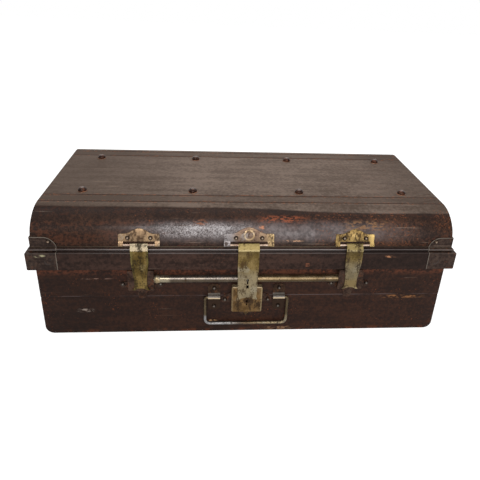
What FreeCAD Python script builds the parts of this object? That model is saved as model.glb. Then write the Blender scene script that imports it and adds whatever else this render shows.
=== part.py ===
import FreeCAD, Part
import math
import os
import Sketcher

# Steel trunk: a folded sheet body, a pressed lid with a deep rim band, three hasps with a
# bar lock between them, and drop handles. X runs along the trunk, -Y is the front, Z is up,
# and the origin is the centre of the underside.

Vector = FreeCAD.Vector

# Driving dimensions in millimetres and degrees
SIZES = {
    # whole trunk
    "trunk_length": "760",
    "trunk_depth": "406",
    "trunk_height": "245",
    "sheet_thickness": "1",
    "seat_gap": "0.3",
    "cut_overrun": "5",
    # body
    "body_inset": "10",
    "body_corner_radius": "15",
    "flange_width": "8",
    "swage_share": "0.447",
    "swage_width": "4",
    "swage_depth": "0.6",
    "rim_width": "6.8",
    "rim_depth": "7.6",
    "rim_drop": "7",
    "rim_bend_radius": "4.6",
    # lid sheet
    "lid_inset": "9",
    "lid_wall_rise": "21",
    "roll_top_radius": "65",
    "roll_side_radius": "35.5",
    "roll_turn": "50",
    "lid_line_inner": "107",
    "lid_line_outer": "135",
    "lid_line_tool_radius": "2.2",
    "lid_line_depth": "0.6",
    "lid_line_end_length": "36",
    "lid_line_end_turn": "7",
    "lid_line_end_margin": "10",
    # lid rim band, from the parting line between body and lid
    "skirt_drop": "34",
    "skirt_edge_cut": "1.2",
    "ledge_drop": "0.6",
    "moulding_notch_inset": "7",
    "moulding_notch_height": "1.4",
    "moulding_tip_inset": "4.4",
    "moulding_tip_rise": "3.8",
    "moulding_bend_radius": "3.6",
    "lap_inset": "8",
    "lap_bottom_rise": "6.6",
    "lap_top_rise": "8.8",
    # lid corner caps
    "cap_thickness": "0.8",
    "cap_wing": "51",
    "cap_lobe_radius": "22",
    "cap_hem": "1",
    "cap_top_rise": "27",
    "cap_rivet_margin": "39",
    "cap_rivet_rise": "19",
    "cap_boss_margin": "37",
    "cap_boss_drop": "16",
    "cap_boss_radius": "8",
    "cap_boss_rise": "1.6",
    # lid studs
    "stud_pitch": "203",
    "stud_row_offset": "89.3",
    "stud_radius": "7",
    "stud_rise": "6.6",
    "stud_washer_radius": "9",
    "stud_washer_thickness": "1.2",
    # rivets
    "rivet_head_radius": "4",
    "rivet_head_rise": "3",
    "head_crown_share": "0.55",
    # hasps
    "hasp_seat": "0.1",
    "plate_thickness": "1.2",
    "plate_corner_radius": "2.4",
    "plate_ledge_share": "0.76",
    "plate_curve_share": "0.42",
    "plate_gable_share": "0.4",
    "plate_hollow_share": "0.6",
    "plate_crown_share": "1.1",
    "hasp_pin_radius": "2",
    "hasp_pin_play": "0.05",
    "hasp_barrel_radius": "3.2",
    "hasp_pin_rise": "13.2",
    "hasp_pin_front": "5.4",
    "plate_slot_rise": "5.6",
    "plate_foot_rise": "6.5",
    "strap_thickness": "1.8",
    "strap_gap": "0.8",
    "strap_bend_rise": "4.9",
    "side_hasp_offset": "190",
    "center_plate_width": "88",
    "center_plate_slot": "66",
    "center_plate_shoulder": "33",
    "center_plate_apex": "43",
    "center_plate_rivet": "23",
    "center_strap_width": "37.5",
    "center_strap_waist": "35",
    "center_strap_reach": "39.4",
    "side_plate_width": "70",
    "side_plate_slot": "54",
    "side_plate_shoulder": "32.5",
    "side_plate_apex": "41",
    "side_plate_rivet": "19.5",
    "side_strap_width": "30",
    "side_strap_waist": "22",
    "side_strap_reach": "17.6",
    "plate_rivet_rise": "25.7",
    "fishtail_height": "11",
    "fishtail_arch": "4",
    "fishtail_arch_share": "0.72",
    "fishtail_bend_radius": "14",
    "keyhole_radius": "2.4",
    "keyhole_slot_width": "2.8",
    "keyhole_slot_drop": "6.5",
    "window_width": "4.5",
    "window_drop": "8.6",
    "window_height": "6.5",
    # staples on the back of the straps
    "staple_width": "5",
    "staple_eye_height": "5.8",
    "staple_eye_depth": "3.2",
    "staple_reach": "8.8",
    "staple_wall": "1.2",
    "staple_clearance": "1",
    # bar lock
    "bar_share": "0.8363",
    "casing_radius": "6.5",
    "casing_wall": "1",
    "casing_center_depth": "3.3",
    "lock_bar_depth": "2.4",
    "lock_bar_width": "4.6",
    "lock_bar_front": "6",
    "lock_bar_staple_gap": "3.5",
    "bar_clearance": "0.5",
    "gear_module": "0.6",
    "gear_pressure": "25",
    "gear_backlash": "0.12",
    "gear_addendum_share": "0.75",
    "gear_dedendum_share": "1",
    "gear_post_radius": "0.9",
    "gear_post_play": "0.08",
    "gear_slot_depth": "0.9",
    "gear_slot_width": "1",
    "gear_slot_length": "4",
    "rack_back": "4.5",
    "rack_reach": "26",
    "rack_shoulder": "10",
    "rack_tail": "20",
    # centre lock
    "box_depth": "10.5",
    "box_wall": "1",
    "lock_box_width": "56",
    "lock_box_gap": "7.4",
    "lock_box_height": "54.6",
    "box_corner_radius": "2",
    "lock_wing_width": "92",
    "lock_wing_top": "36",
    "lock_wing_tip": "28",
    "lock_wing_bottom": "16",
    "lock_wing_rivet": "40",
    "lock_wing_rivet_rise": "22",
    "lock_wing_corner_radius": "3",
    "lock_pendant_radius": "15",
    "lock_keyhole_rise": "23.5",
    "bolt_drop": "14.3",
    "bolt_width": "4.6",
    "bolt_tip": "9",
    "bolt_heel": "8",
    # side catches
    "catch_width": "46",
    "catch_gap": "2",
    "catch_height": "42",
    "catch_plate_width": "78",
    "catch_wing_height": "12.4",
    "catch_wing_margin": "1",
    "catch_wing_cut": "5",
    "catch_rivet": "33.5",
    "catch_rivet_drop": "11.2",
    "catch_pendant_drop": "23",
    "catch_pendant_radius": "8",
    # drop handles
    "bail_wire_radius": "2.75",
    "bail_play": "0.1",
    "bail_wall_gap": "4.2",
    "bail_half_width": "76.5",
    "bail_drop": "59",
    "bail_tail": "10",
    "bail_upper_bend": "4",
    "bail_lower_bend": "10",
    "right_angle": "90",
    "front_bail_share": "0.666",
    "end_bail_share": "0.584",
    "clip_offset": "60",
    "clip_width": "22",
    "clip_reach_up": "27",
    "clip_reach_down": "29",
    "clip_corner_cut": "3.5",
    "clip_rivet_rise": "19",
    "clip_rivet_drop": "21",
    # back hinges
    "hinge_offset": "230",
    "hinge_width": "40",
    "hinge_barrel_radius": "3.3",
    "hinge_pin_radius": "2",
    "hinge_pin_play": "0.05",
    "hinge_pin_drop": "4.5",
    "hinge_knuckle": "15",
    "hinge_knuckle_gap": "0.3",
    "hinge_leaf_thickness": "1.2",
    "hinge_lid_leaf_rise": "34.5",
    "hinge_body_leaf_drop": "43.5",
    "hinge_web_thickness": "1.4",
    "hinge_rivet_offset": "13",
    "hinge_rivet_margin": "9",
}

document = FreeCAD.newDocument("steel_trunk")
sheet = document.addObject("Spreadsheet::Sheet", "Sizes")
for row, (alias, text) in enumerate(SIZES.items(), start=1):
    sheet.set(f"A{row}", alias)
    sheet.set(f"B{row}", text)
    sheet.setAlias(f"B{row}", alias)
document.recompute()


# A named size, or a formula made of named sizes, with its present value
class Size:
    def __init__(self, text, value):
        self.text = text
        self.value = value

    @staticmethod
    def of(other):
        return other if isinstance(other, Size) else Size(f"({other})", float(other))

    def join(self, sign, other, value):
        return Size(f"({self.text} {sign} {other.text})", value)

    def __add__(self, other):
        other = Size.of(other)
        return self.join("+", other, self.value + other.value)

    def __sub__(self, other):
        other = Size.of(other)
        return self.join("-", other, self.value - other.value)

    def __rsub__(self, other):
        return Size.of(other) - self

    def __mul__(self, other):
        other = Size.of(other)
        return self.join("*", other, self.value * other.value)

    def __truediv__(self, other):
        other = Size.of(other)
        return self.join("/", other, self.value / other.value)

    def __neg__(self):
        return Size(f"(0 - {self.text})", -self.value)

    __radd__ = __add__
    __rmul__ = __mul__


def sine(angle):
    return Size(f"sin({angle.text} * 1 deg)", math.sin(math.radians(angle.value)))


def cosine(angle):
    return Size(f"cos({angle.text} * 1 deg)", math.cos(math.radians(angle.value)))


def involute(angle):
    """The involute function of an angle, in degrees like the angle."""
    return sine(angle) / cosine(angle) * (180 / math.pi) - angle


def arc_sine(ratio):
    return Size(f"(asin({ratio.text}) / 1 deg)", math.degrees(math.asin(ratio.value)))


class Table:
    def __getattr__(self, alias):
        return Size("Sizes." + alias, float(SIZES[alias]))


S = Table()
ZERO = Size("0", 0.0)
nodes = {}


def keep(node, item):
    """Name a finished sub-part; its label is its node's name."""
    item.Label = node
    nodes[node] = item
    return item


def bind(item, path, size):
    item.setExpression(path, Size.of(size).text)


def place(item, x=ZERO, y=ZERO, z=ZERO, path="Placement"):
    for letter, size in zip("xyz", (x, y, z)):
        bind(item, f"{path}.Base.{letter}", size)
    return item


# Sketches


def arc_between(start, end, radius):
    """The short arc from start to end; a positive radius turns left."""
    chord = end - start
    side = Vector(-chord.y, chord.x, 0).normalize()
    sign = 1 if radius > 0 else -1
    inside = max(radius * radius - chord.Length ** 2 / 4, 0)
    center = (start + end) / 2 + side * sign * math.sqrt(inside)
    middle = center - side * sign * abs(radius)
    return Part.Arc(start, middle, end)


def mirrored(right):
    """An outline from its right-hand half, drawn upwards, and that half's mirror image."""
    left = []
    for index in range(len(right) - 1, -1, -1):
        bend = right[index + 1][2:3] if index + 1 < len(right) else ()
        left.append((-right[index][0], right[index][1], *bend))
    if right[-1][0].value == 0:
        left = left[1:]
    if right[0][0].value == 0:
        bend = left.pop()[2:3]
        right = [(*right[0][:2], *bend)] + right[1:]
    return right + left


def draw(sketch, outline, closed=True):
    """An outline of lines and arcs, each corner and radius bound to its formula.
    A corner is (x, y), or (x, y, radius) where the stretch that ends there is an arc."""
    stretches = []
    stops = list(zip(outline, outline[1:] + outline[:1]))
    for point, following in stops if closed else stops[:-1]:
        start = Vector(point[0].value, point[1].value, 0)
        end = Vector(following[0].value, following[1].value, 0)
        if len(following) > 2:
            radius = following[2]
            stretch = sketch.addGeometry(arc_between(start, end, radius.value))
            held = sketch.addConstraint(Sketcher.Constraint("Radius", stretch, abs(radius.value)))
            bind(sketch, f"Constraints[{held}]", radius if radius.value > 0 else -radius)
        else:
            stretch = sketch.addGeometry(Part.LineSegment(start, end))
        tips = sorted((1, 2), key=lambda tip: (sketch.getPoint(stretch, tip) - start).Length)
        stretches.append((stretch, *tips))
        pin_down(sketch, stretch, tips[0], point[0], point[1])
    if not closed:
        pin_down(sketch, stretches[-1][0], stretches[-1][2], outline[-1][0], outline[-1][1])
    for before, after in zip(stretches, stretches[1:] + stretches[:closed]):
        sketch.addConstraint(Sketcher.Constraint("Coincident", before[0], before[2], after[0], after[1]))


def pin_down(sketch, stretch, tip, x, y):
    for kind, size in (("DistanceX", x), ("DistanceY", y)):
        held = Sketcher.Constraint(kind, -1, 1, stretch, tip, size.value)
        bind(sketch, f"Constraints[{sketch.addConstraint(held)}]", size)


def draw_circle(sketch, x, y, radius):
    circle = Part.Circle(Vector(x.value, y.value, 0), Vector(0, 0, 1), radius.value)
    ring = sketch.addGeometry(circle)
    pin_down(sketch, ring, 3, x, y)
    held = sketch.addConstraint(Sketcher.Constraint("Radius", ring, radius.value))
    bind(sketch, f"Constraints[{held}]", radius)


def fill_sketch(sketch, outlines):
    for outline in outlines:
        if outline[0] == "circle":
            draw_circle(sketch, *outline[1:])
        else:
            draw(sketch, outline)
    return sketch


def frame_outline():
    """A rectangle larger than any piece, for cuts that keep only what an outline holds."""
    reach = S.trunk_length
    return [(-reach, -reach), (reach, -reach), (reach, reach), (-reach, reach)]


# Sketch planes: the normal of XZ points to the front (-Y), that of YZ to the right (+X)
TURNS = {
    "XY_Plane": FreeCAD.Rotation(),
    "XZ_Plane": FreeCAD.Rotation(Vector(1, 0, 0), 90),
    "YZ_Plane": FreeCAD.Rotation(Vector(1, 1, 1), 120),
}
NORMALS = {"XY_Plane": ("z", 1), "XZ_Plane": ("y", -1), "YZ_Plane": ("x", 1)}


def sketch_in(body, plane, outlines, level=ZERO):
    """A sketch on one of the body's own planes, moved along its normal by level."""
    sketch = body.newObject("Sketcher::SketchObject", "Outline")
    support = [item for item in body.Origin.OriginFeatures if item.Role == plane][0]
    sketch.AttachmentSupport = [(support, "")]
    sketch.MapMode = "FlatFace"
    bind(sketch, "AttachmentOffset.Base.z", level)
    return fill_sketch(sketch, outlines)


def new_body(name):
    return document.addObject("PartDesign::Body", name)


def finish_feature(feature, sketch, length, symmetric, towards_normal, default_normal):
    feature.Profile = sketch
    if length is None:
        feature.Type = "ThroughAll"
    else:
        feature.Type = "Length"
        bind(feature, "Length", length)
    if symmetric:
        feature.SideType = "Symmetric"
    else:
        feature.Reversed = towards_normal != default_normal
    document.recompute()
    return feature


def pad(body, plane, outlines, length, level=ZERO, symmetric=False, towards_normal=True):
    sketch = sketch_in(body, plane, outlines, level)
    feature = body.newObject("PartDesign::Pad", "Pad")
    return finish_feature(feature, sketch, length, symmetric, towards_normal, True)


def pocket(body, plane, outlines, length=None, level=ZERO, symmetric=False, towards_normal=False):
    before = body.Shape.Volume
    sketch = sketch_in(body, plane, outlines, level)
    feature = body.newObject("PartDesign::Pocket", "Pocket")
    finish_feature(feature, sketch, length, symmetric, towards_normal, False)
    if not body.Shape.Volume < before:
        raise RuntimeError(f"a pocket of {body.Name} cuts nothing")
    return feature


def trim(body, plane, outline):
    """Cut away all of the body that lies outside the outline."""
    return pocket(body, plane, [frame_outline(), outline], symmetric=True)


# Solids outside bodies, for pieces that are sums or differences of simple forms


def prism(plane, outlines, length, level=ZERO, symmetric=False):
    sketch = document.addObject("Sketcher::SketchObject", "Outline")
    sketch.Placement = FreeCAD.Placement(Vector(), TURNS[plane])
    letter, sign = NORMALS[plane]
    bind(sketch, f"Placement.Base.{letter}", level if sign > 0 else -level)
    fill_sketch(sketch, outlines)
    solid = document.addObject("Part::Extrusion", "Prism")
    solid.Base = sketch
    solid.DirMode = "Normal"
    solid.Solid = True
    solid.Symmetric = symmetric
    bind(solid, "LengthFwd", length)
    return solid


def box(x, y, z):
    """A box from pairs of formulas: its lowest and highest place along each axis."""
    solid = document.addObject("Part::Box", "Box")
    for side, (low, high) in zip(("Length", "Width", "Height"), (x, y, z)):
        bind(solid, side, high - low)
    return place(solid, x[0], y[0], z[0])


def cylinder(radius, length, axis, x=ZERO, y=ZERO, z=ZERO):
    """A cylinder from its centre, along one axis, half its length each way."""
    solid = document.addObject("Part::Cylinder", "Cylinder")
    bind(solid, "Radius", radius)
    bind(solid, "Height", length)
    turns = {"x": (Vector(0, 1, 0), 90), "y": (Vector(1, 0, 0), -90), "z": (Vector(0, 0, 1), 0)}
    solid.Placement = FreeCAD.Placement(Vector(), FreeCAD.Rotation(*turns[axis]))
    middle = {"x": x, "y": y, "z": z}
    middle[axis] = middle[axis] - length / 2
    return place(solid, middle["x"], middle["y"], middle["z"])


def cut(base, tool):
    result = document.addObject("Part::Cut", "Cut")
    result.Base = base
    result.Tool = tool
    return result


def common(base, tool):
    result = document.addObject("Part::Common", "Common")
    result.Base = base
    result.Tool = tool
    return result


def fuse(items):
    result = document.addObject("Part::MultiFuse", "Fuse")
    result.Shapes = items
    return result


def group(items):
    result = document.addObject("Part::Compound", "Group")
    result.Links = items
    return result


# Derived places: the walls, and the parting line that the band and the locks hang from

half_length = S.trunk_length / 2
half_depth = S.trunk_depth / 2
wall_x = half_length - S.body_inset
wall_y = half_depth - S.body_inset
lid_x = half_length - S.lid_inset
lid_y = half_depth - S.lid_inset
gauge = S.sheet_thickness

roll_sine = sine(S.roll_turn)
roll_cosine = cosine(S.roll_turn)
roll_rise = S.roll_top_radius * (1 - roll_cosine) + S.roll_side_radius * roll_cosine
roll_start = S.trunk_height - roll_rise
roll_center = lid_y - S.roll_side_radius

parting = roll_start - S.lid_wall_rise
body_top = parting - S.seat_gap
swage_height = parting * S.swage_share
skirt_bottom = parting - S.skirt_drop
lap_top = parting + S.lap_top_rise
cap_bottom = skirt_bottom + S.cap_hem
cap_top = parting + S.cap_top_rise
cap_rivet_height = parting + S.cap_rivet_rise
hasp_pin_height = parting + S.hasp_pin_rise
plate_rivet_height = parting + S.plate_rivet_rise
strap_bend_height = parting + S.strap_bend_rise

bar_height = skirt_bottom * S.bar_share
lock_box_top = bar_height - S.casing_radius - S.lock_box_gap
lock_box_bottom = lock_box_top - S.lock_box_height
lock_keyhole_height = lock_box_bottom + S.lock_keyhole_rise
bolt_height = lock_box_top - S.bolt_drop
catch_top = skirt_bottom - S.catch_gap
catch_bottom = catch_top - S.catch_height
catch_wing_bottom = catch_bottom + S.catch_wing_margin
catch_wing_top = catch_wing_bottom + S.catch_wing_height
catch_pendant_bottom = catch_bottom - S.catch_pendant_drop

hinge_height = skirt_bottom - S.hinge_pin_drop
hinge_lid_leaf_top = hinge_height + S.hinge_lid_leaf_rise
hinge_body_leaf_bottom = hinge_height - S.hinge_body_leaf_drop


def section(half_span, shrink, top, bottom_level, side=1):
    """Front outline of a tray with rounded lower corners, all sides moved in by shrink."""
    bend = S.body_corner_radius - shrink
    return mirrored([
        (half_span - S.body_corner_radius, bottom_level + shrink),
        (half_span - shrink, bottom_level + S.body_corner_radius, bend),
        (half_span - shrink, top),
    ])


# Body: a wrapper folded from one sheet for the ends and the bottom


def swage_cutter(along):
    """Rods that press the line round the body; their axes lie outside the walls."""
    half = S.swage_width / 2
    rod = (half * half + S.swage_depth * S.swage_depth) / (S.swage_depth * 2)
    stand_off = rod - S.swage_depth
    if along == "y":
        length = S.trunk_depth
        return [cylinder(rod, length, "y", x=side * (wall_x + stand_off), z=swage_height) for side in (-1, 1)]
    length = S.trunk_length
    return [cylinder(rod, length, "x", y=side * (wall_y + stand_off), z=swage_height) for side in (-1, 1)]


def make_body_wrapper():
    body = new_body("Wrapper")
    outer = section(wall_x, ZERO, body_top, ZERO)
    pad(body, "XZ_Plane", [outer], wall_y * 2, symmetric=True)
    inner = section(wall_x, gauge, body_top + S.cut_overrun, ZERO)
    pocket(body, "XZ_Plane", [inner], symmetric=True)
    keep("body_wrapper", cut(body, fuse(swage_cutter("y"))))


def make_body_panel(node, side):
    """Front or back panel: a flat pan whose flange lies inside the wrapper."""
    to_inside = side > 0
    body = new_body("Panel")
    outer = section(wall_x, gauge, body_top, ZERO)
    pad(body, "XZ_Plane", [outer], S.flange_width, level=-side * wall_y, towards_normal=to_inside)
    inner = section(wall_x, gauge * 2, body_top + S.cut_overrun, ZERO)
    pocket(body, "XZ_Plane", [inner], level=-side * (wall_y - gauge), towards_normal=to_inside)
    keep(node, cut(body, swage_cutter("x")[0 if side < 0 else 1]))


def four_sided(profile):
    """A block whose four sides follow one profile of (inset, height), mitred at the corners."""
    def outline(half):
        return mirrored([(half - point[0], *point[1:]) for point in profile])
    lengthways = prism("YZ_Plane", [outline(half_depth)], S.trunk_length * 2, symmetric=True)
    crossways = prism("XZ_Plane", [outline(half_length)], S.trunk_depth * 2, symmetric=True)
    return common(lengthways, crossways)


def make_body_rim():
    top = body_top - S.rim_drop
    bottom = top - S.rim_depth
    tip = S.body_inset - S.rim_width
    heel = tip + S.rim_bend_radius / 2
    outer = four_sided([
        (heel, bottom),
        (tip, (bottom + top) / 2, S.rim_bend_radius),
        (heel, top, S.rim_bend_radius),
    ])
    inner = box((-wall_x, wall_x), (-wall_y, wall_y), (bottom - S.cut_overrun, top + S.cut_overrun))
    keep("body_rim", cut(outer, inner))


# Lid: one pressed sheet over the top, rolled at the front and the back


def roll_bend(shrink):
    """Where the roll's tight arc meets its wide one, moved in by shrink."""
    radius = S.roll_side_radius - shrink
    return roll_center + radius * roll_sine, roll_start + radius * roll_cosine


def lid_outline(shrink, bottom):
    """Cross-section of the lid in Y and Z, moved in by shrink."""
    crown = roll_center - (S.roll_top_radius - S.roll_side_radius) * roll_sine
    return mirrored([
        (lid_y - shrink, bottom),
        (lid_y - shrink, roll_start),
        (*roll_bend(shrink), S.roll_side_radius - shrink),
        (crown, S.trunk_height - shrink, S.roll_top_radius - shrink),
    ])


def lid_line(side, offset):
    """Rods that press one decorative line; two short ones at each end lead it inwards."""
    rod = S.lid_line_tool_radius
    level = S.trunk_height + rod - S.lid_line_depth
    length = S.lid_line_end_length
    first = S.lid_line_end_turn
    second = first * 3
    reach = length * (cosine(first) + cosine(second))
    straight = lid_x - S.lid_line_end_margin - reach
    parts = [cylinder(rod, straight * 2, "x", y=side * offset, z=level)]
    for end in (-1, 1):
        x = end * straight
        y = side * offset
        for turn in (first, second):
            piece = document.addObject("Part::Cylinder", "LineEnd")
            bind(piece, "Radius", rod)
            bind(piece, "Height", length + rod)
            piece.Placement = FreeCAD.Placement(Vector(), FreeCAD.Rotation(Vector(0, 1, 0), 90))
            heading = cosine(turn)
            drift = sine(turn)
            for letter, size in zip("xyz", (drift * side, heading * end, ZERO)):
                bind(piece, f"Placement.Rotation.Axis.{letter}", size)
            parts.append(place(piece, x, y, level))
            x = x + length * heading * end
            y = y - length * drift * side
    return fuse(parts)


def make_lid_top_sheet():
    body = new_body("LidSheet")
    pad(body, "YZ_Plane", [lid_outline(ZERO, parting)], lid_x * 2, symmetric=True)
    below = parting - S.cut_overrun
    hollow = lid_outline(gauge, below)
    pocket(body, "YZ_Plane", [hollow], (lid_x - gauge) * 2, symmetric=True)
    mouth = lid_outline(gauge + S.flange_width, below)
    pocket(body, "YZ_Plane", [mouth], symmetric=True)
    lines = [lid_line(side, offset) for side in (-1, 1) for offset in (S.lid_line_inner, S.lid_line_outer)]
    keep("lid_top_sheet", cut(body, fuse(lines)))


def make_lid_end(node, side):
    body = new_body("LidEnd")
    outline = lid_outline(gauge, parting)
    inner_face = lid_x - gauge * 2
    level = inner_face if side > 0 else -(lid_x - gauge)
    pad(body, "YZ_Plane", [outline], gauge, level=level)
    keep(node, body)


def band_profile(out, bottom, top):
    """Outside of the rim band, moved out by out: skirt, ledge, notch, round moulding and lap."""
    notch = parting - S.ledge_drop
    return [
        (-out, bottom),
        (-out, parting - S.skirt_edge_cut + out / 2),
        (S.skirt_edge_cut - out, parting + out / 2),
        (S.moulding_notch_inset - out, notch + out / 2),
        (S.moulding_notch_inset - out, notch + S.moulding_notch_height - out / 2),
        (S.moulding_tip_inset - out, parting + S.moulding_tip_rise, S.moulding_bend_radius),
        (S.lap_inset - out, parting + S.lap_bottom_rise + out / 2, S.moulding_bend_radius),
        (S.lap_inset - out, top),
    ]


def make_lid_rim_band():
    outer = four_sided(band_profile(ZERO, skirt_bottom, lap_top))
    inner = four_sided([
        (gauge, skirt_bottom - S.cut_overrun),
        (gauge, parting - S.skirt_edge_cut - gauge / 2),
        (S.lid_inset, parting - S.ledge_drop - gauge),
        (S.lid_inset, lap_top + S.cut_overrun),
    ])
    keep("lid_rim_band", cut(outer, inner))


def mirror_left(outline):
    """Mirror image of an outline about its vertical axis, in the same turning sense."""
    result = []
    for index in range(len(outline) - 1, -1, -1):
        later = outline[(index + 1) % len(outline)]
        result.append((-outline[index][0], outline[index][1], *later[2:3]))
    return result


def cap_lobe(corner):
    """Front outline of a cap, from the trunk's corner to its rounded upper lobe."""
    near = corner - S.cap_wing
    far = corner + S.cut_overrun
    lobe = S.cap_lobe_radius
    return [
        (near, cap_bottom - S.cut_overrun),
        (far, cap_bottom - S.cut_overrun),
        (far, cap_top + S.cut_overrun),
        (near + lobe, cap_top + S.cut_overrun),
        (near + lobe, cap_top),
        (near, cap_top - lobe, lobe),
    ]


def make_corner_caps():
    """Front right cap, wrapped over the band's corner, and its three mirror images."""
    skin = S.cap_thickness
    over = S.cut_overrun
    outer = four_sided(band_profile(skin, cap_bottom, cap_top))
    inner = four_sided(band_profile(ZERO, cap_bottom - over, cap_top + over))
    depth = S.lap_inset + over
    front = prism("XZ_Plane", [cap_lobe(half_length)], depth + over, level=half_depth - depth)
    end = prism("YZ_Plane", [mirror_left(cap_lobe(half_depth))], depth + over, level=half_length - depth)
    boss = (S.cap_boss_radius, S.cap_boss_rise)
    margin = S.cap_boss_margin
    boss_height = parting - S.cap_boss_drop
    bosses = [
        head(*boss, "-y", half_length - margin, -(half_depth + skin), boss_height),
        head(*boss, "x", half_length + skin, -(half_depth - margin), boss_height),
    ]
    cap = fuse([common(cut(outer, inner), fuse([front, end]))] + bosses)
    keep("corner_cap_front_right", cap)
    left = keep("corner_cap_front_left", mirror_image(cap, Vector(1, 0, 0)))
    keep("corner_cap_back_right", mirror_image(cap, Vector(0, 1, 0)))
    keep("corner_cap_back_left", mirror_image(left, Vector(0, 1, 0)))


def mirror_image(source, normal):
    image = document.addObject("Part::Mirroring", "Mirror")
    image.Source = source
    image.Normal = normal
    return image


# Heads: rivets and studs


WAYS = {
    "x": (Vector(0, 1, 0), 90),
    "-x": (Vector(0, 1, 0), -90),
    "y": (Vector(1, 0, 0), -90),
    "-y": (Vector(1, 0, 0), 90),
    "z": (Vector(0, 0, 1), 0),
}


def head(radius, rise, way, x, y, z):
    """A round head as a low block of eight sloped sides, its seat at (x, y, z), facing one way."""
    half = radius * cosine(S.right_angle / 4)
    crown = half * S.head_crown_share
    upright = FreeCAD.Rotation(Vector(1, 0, 0), 90)
    blocks = []
    for turn in (0, 45):
        block = document.addObject("Part::Wedge", "Block")
        for name, size in (("X", half), ("Z", half), ("X2", crown), ("Z2", crown)):
            bind(block, name + "min", -size)
            bind(block, name + "max", size)
        bind(block, "Ymin", ZERO)
        bind(block, "Ymax", rise)
        block.Placement = FreeCAD.Placement(Vector(), FreeCAD.Rotation(Vector(0, 0, 1), turn) * upright)
        blocks.append(block)
    item = common(*blocks)
    item.Placement = FreeCAD.Placement(Vector(), FreeCAD.Rotation(*WAYS[way]))
    return place(item, x, y, z)


PRISM_SIDES = 12


def many_sided(radius, length, way, x, y, z):
    """A straight pin or disc of twelve flat sides, from (x, y, z) one way."""
    pin = document.addObject("Part::Prism", "Pin")
    pin.Polygon = PRISM_SIDES
    bind(pin, "Circumradius", radius)
    bind(pin, "Height", length)
    pin.Placement = FreeCAD.Placement(Vector(), FreeCAD.Rotation(*WAYS[way]))
    return place(pin, x, y, z)


def around(radius):
    """Corner radius of a twelve-sided bore whose sides clear a pin of this radius."""
    return radius / cosine(S.right_angle * 2 / PRISM_SIDES)


def regular(x, y, radius, sides):
    """A regular outline with its corners on a circle and one side upright."""
    step = S.right_angle * 4 / sides
    turns = [step * (number + 0.5) for number in range(sides)]
    return [(x + radius * cosine(turn), y + radius * sine(turn)) for turn in turns]


def rivet(way, x, y, z):
    return head(S.rivet_head_radius, S.rivet_head_rise, way, x, y, z)


def plate_rivet(x):
    """A rivet on a hasp plate, tilted to lie flat on the roll of the lid."""
    surface = S.roll_side_radius + hasp_gap + S.plate_thickness
    tilt = arc_sine((plate_rivet_height - roll_start) / surface)
    item = rivet("-y", x, ZERO, ZERO)
    bind(item, "Placement.Rotation.Angle", S.right_angle - tilt)
    return place(item, x, -(roll_center + surface * cosine(tilt)), plate_rivet_height)


def make_studs():
    columns = [S.stud_pitch * share for share in (-1.5, -0.5, 0.5, 1.5)]
    places = [(x, side * S.stud_row_offset) for x in columns for side in (-1, 1)]
    washers = []
    for x, y in places:
        washer = many_sided(S.stud_washer_radius, S.stud_washer_thickness, "z", x, y, S.trunk_height)
        washers.append(washer)
    keep("stud_washers", group(washers))
    seat = S.trunk_height + S.stud_washer_thickness
    keep("lid_studs", group([head(S.stud_radius, S.stud_rise, "z", x, y, seat) for x, y in places]))


# Hasps: plate and pin on the lid, strap hanging in front of the body

hasp_gap = S.hasp_seat
pin_y = -(half_depth - S.hasp_pin_front)
strap_back = -(half_depth + S.strap_gap)
strap_front = strap_back - S.strap_thickness
bore_radius = around(S.hasp_pin_radius + S.hasp_pin_play)


def make_hasp_plate(node, offset, width, slot, shoulder, apex):
    """Plate that follows the lid's roll, with two feet rolled into eyes for the pin."""
    half = width / 2
    low = hasp_pin_height
    skin = hasp_gap + S.plate_thickness
    outer_y, outer_z = roll_bend(-skin)
    inner_y, inner_z = roll_bend(-hasp_gap)
    body = new_body("HaspPlate")
    pad(body, "YZ_Plane", [[
        (-(lid_y + skin), low),
        (-(lid_y + skin), roll_start),
        (-outer_y, outer_z, -(S.roll_side_radius + skin)),
        (-inner_y, inner_z),
        (-(lid_y + hasp_gap), roll_start, S.roll_side_radius + hasp_gap),
        (-(lid_y + hasp_gap), low),
    ]], width, symmetric=True)
    corner = S.plate_corner_radius
    gable = parting + shoulder + (apex - shoulder) * S.plate_gable_share
    trim(body, "XZ_Plane", mirrored([
        (half, low - S.cut_overrun),
        (half, parting + shoulder - corner),
        (half - corner, parting + shoulder, corner),
        (half * S.plate_ledge_share, parting + shoulder),
        (half * S.plate_curve_share, gable, -half * S.plate_hollow_share),
        (ZERO, parting + apex, half * S.plate_crown_share),
    ]))
    notch = mirrored([(slot / 2, low - S.cut_overrun), (slot / 2, low + S.plate_slot_rise)])
    pocket(body, "XZ_Plane", [notch], symmetric=True)
    ear = half - slot / 2
    foot = [
        (pin_y - S.hasp_barrel_radius, low),
        (pin_y, low),
        (-(lid_y + hasp_gap), low + S.plate_foot_rise),
        (-(lid_y + skin), low + S.plate_foot_rise),
    ]
    feet = []
    for side, start in ((-1, -half), (1, slot / 2)):
        feet.append(prism("YZ_Plane", [foot], ear, level=start))
        feet.append(cylinder(S.hasp_barrel_radius, ear, "x", side * (half - ear / 2), pin_y, low))
    bore = many_sided(bore_radius, width * 2, "x", -width, pin_y, low)
    keep(node, place(cut(fuse([body] + feet), bore), x=offset))


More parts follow.
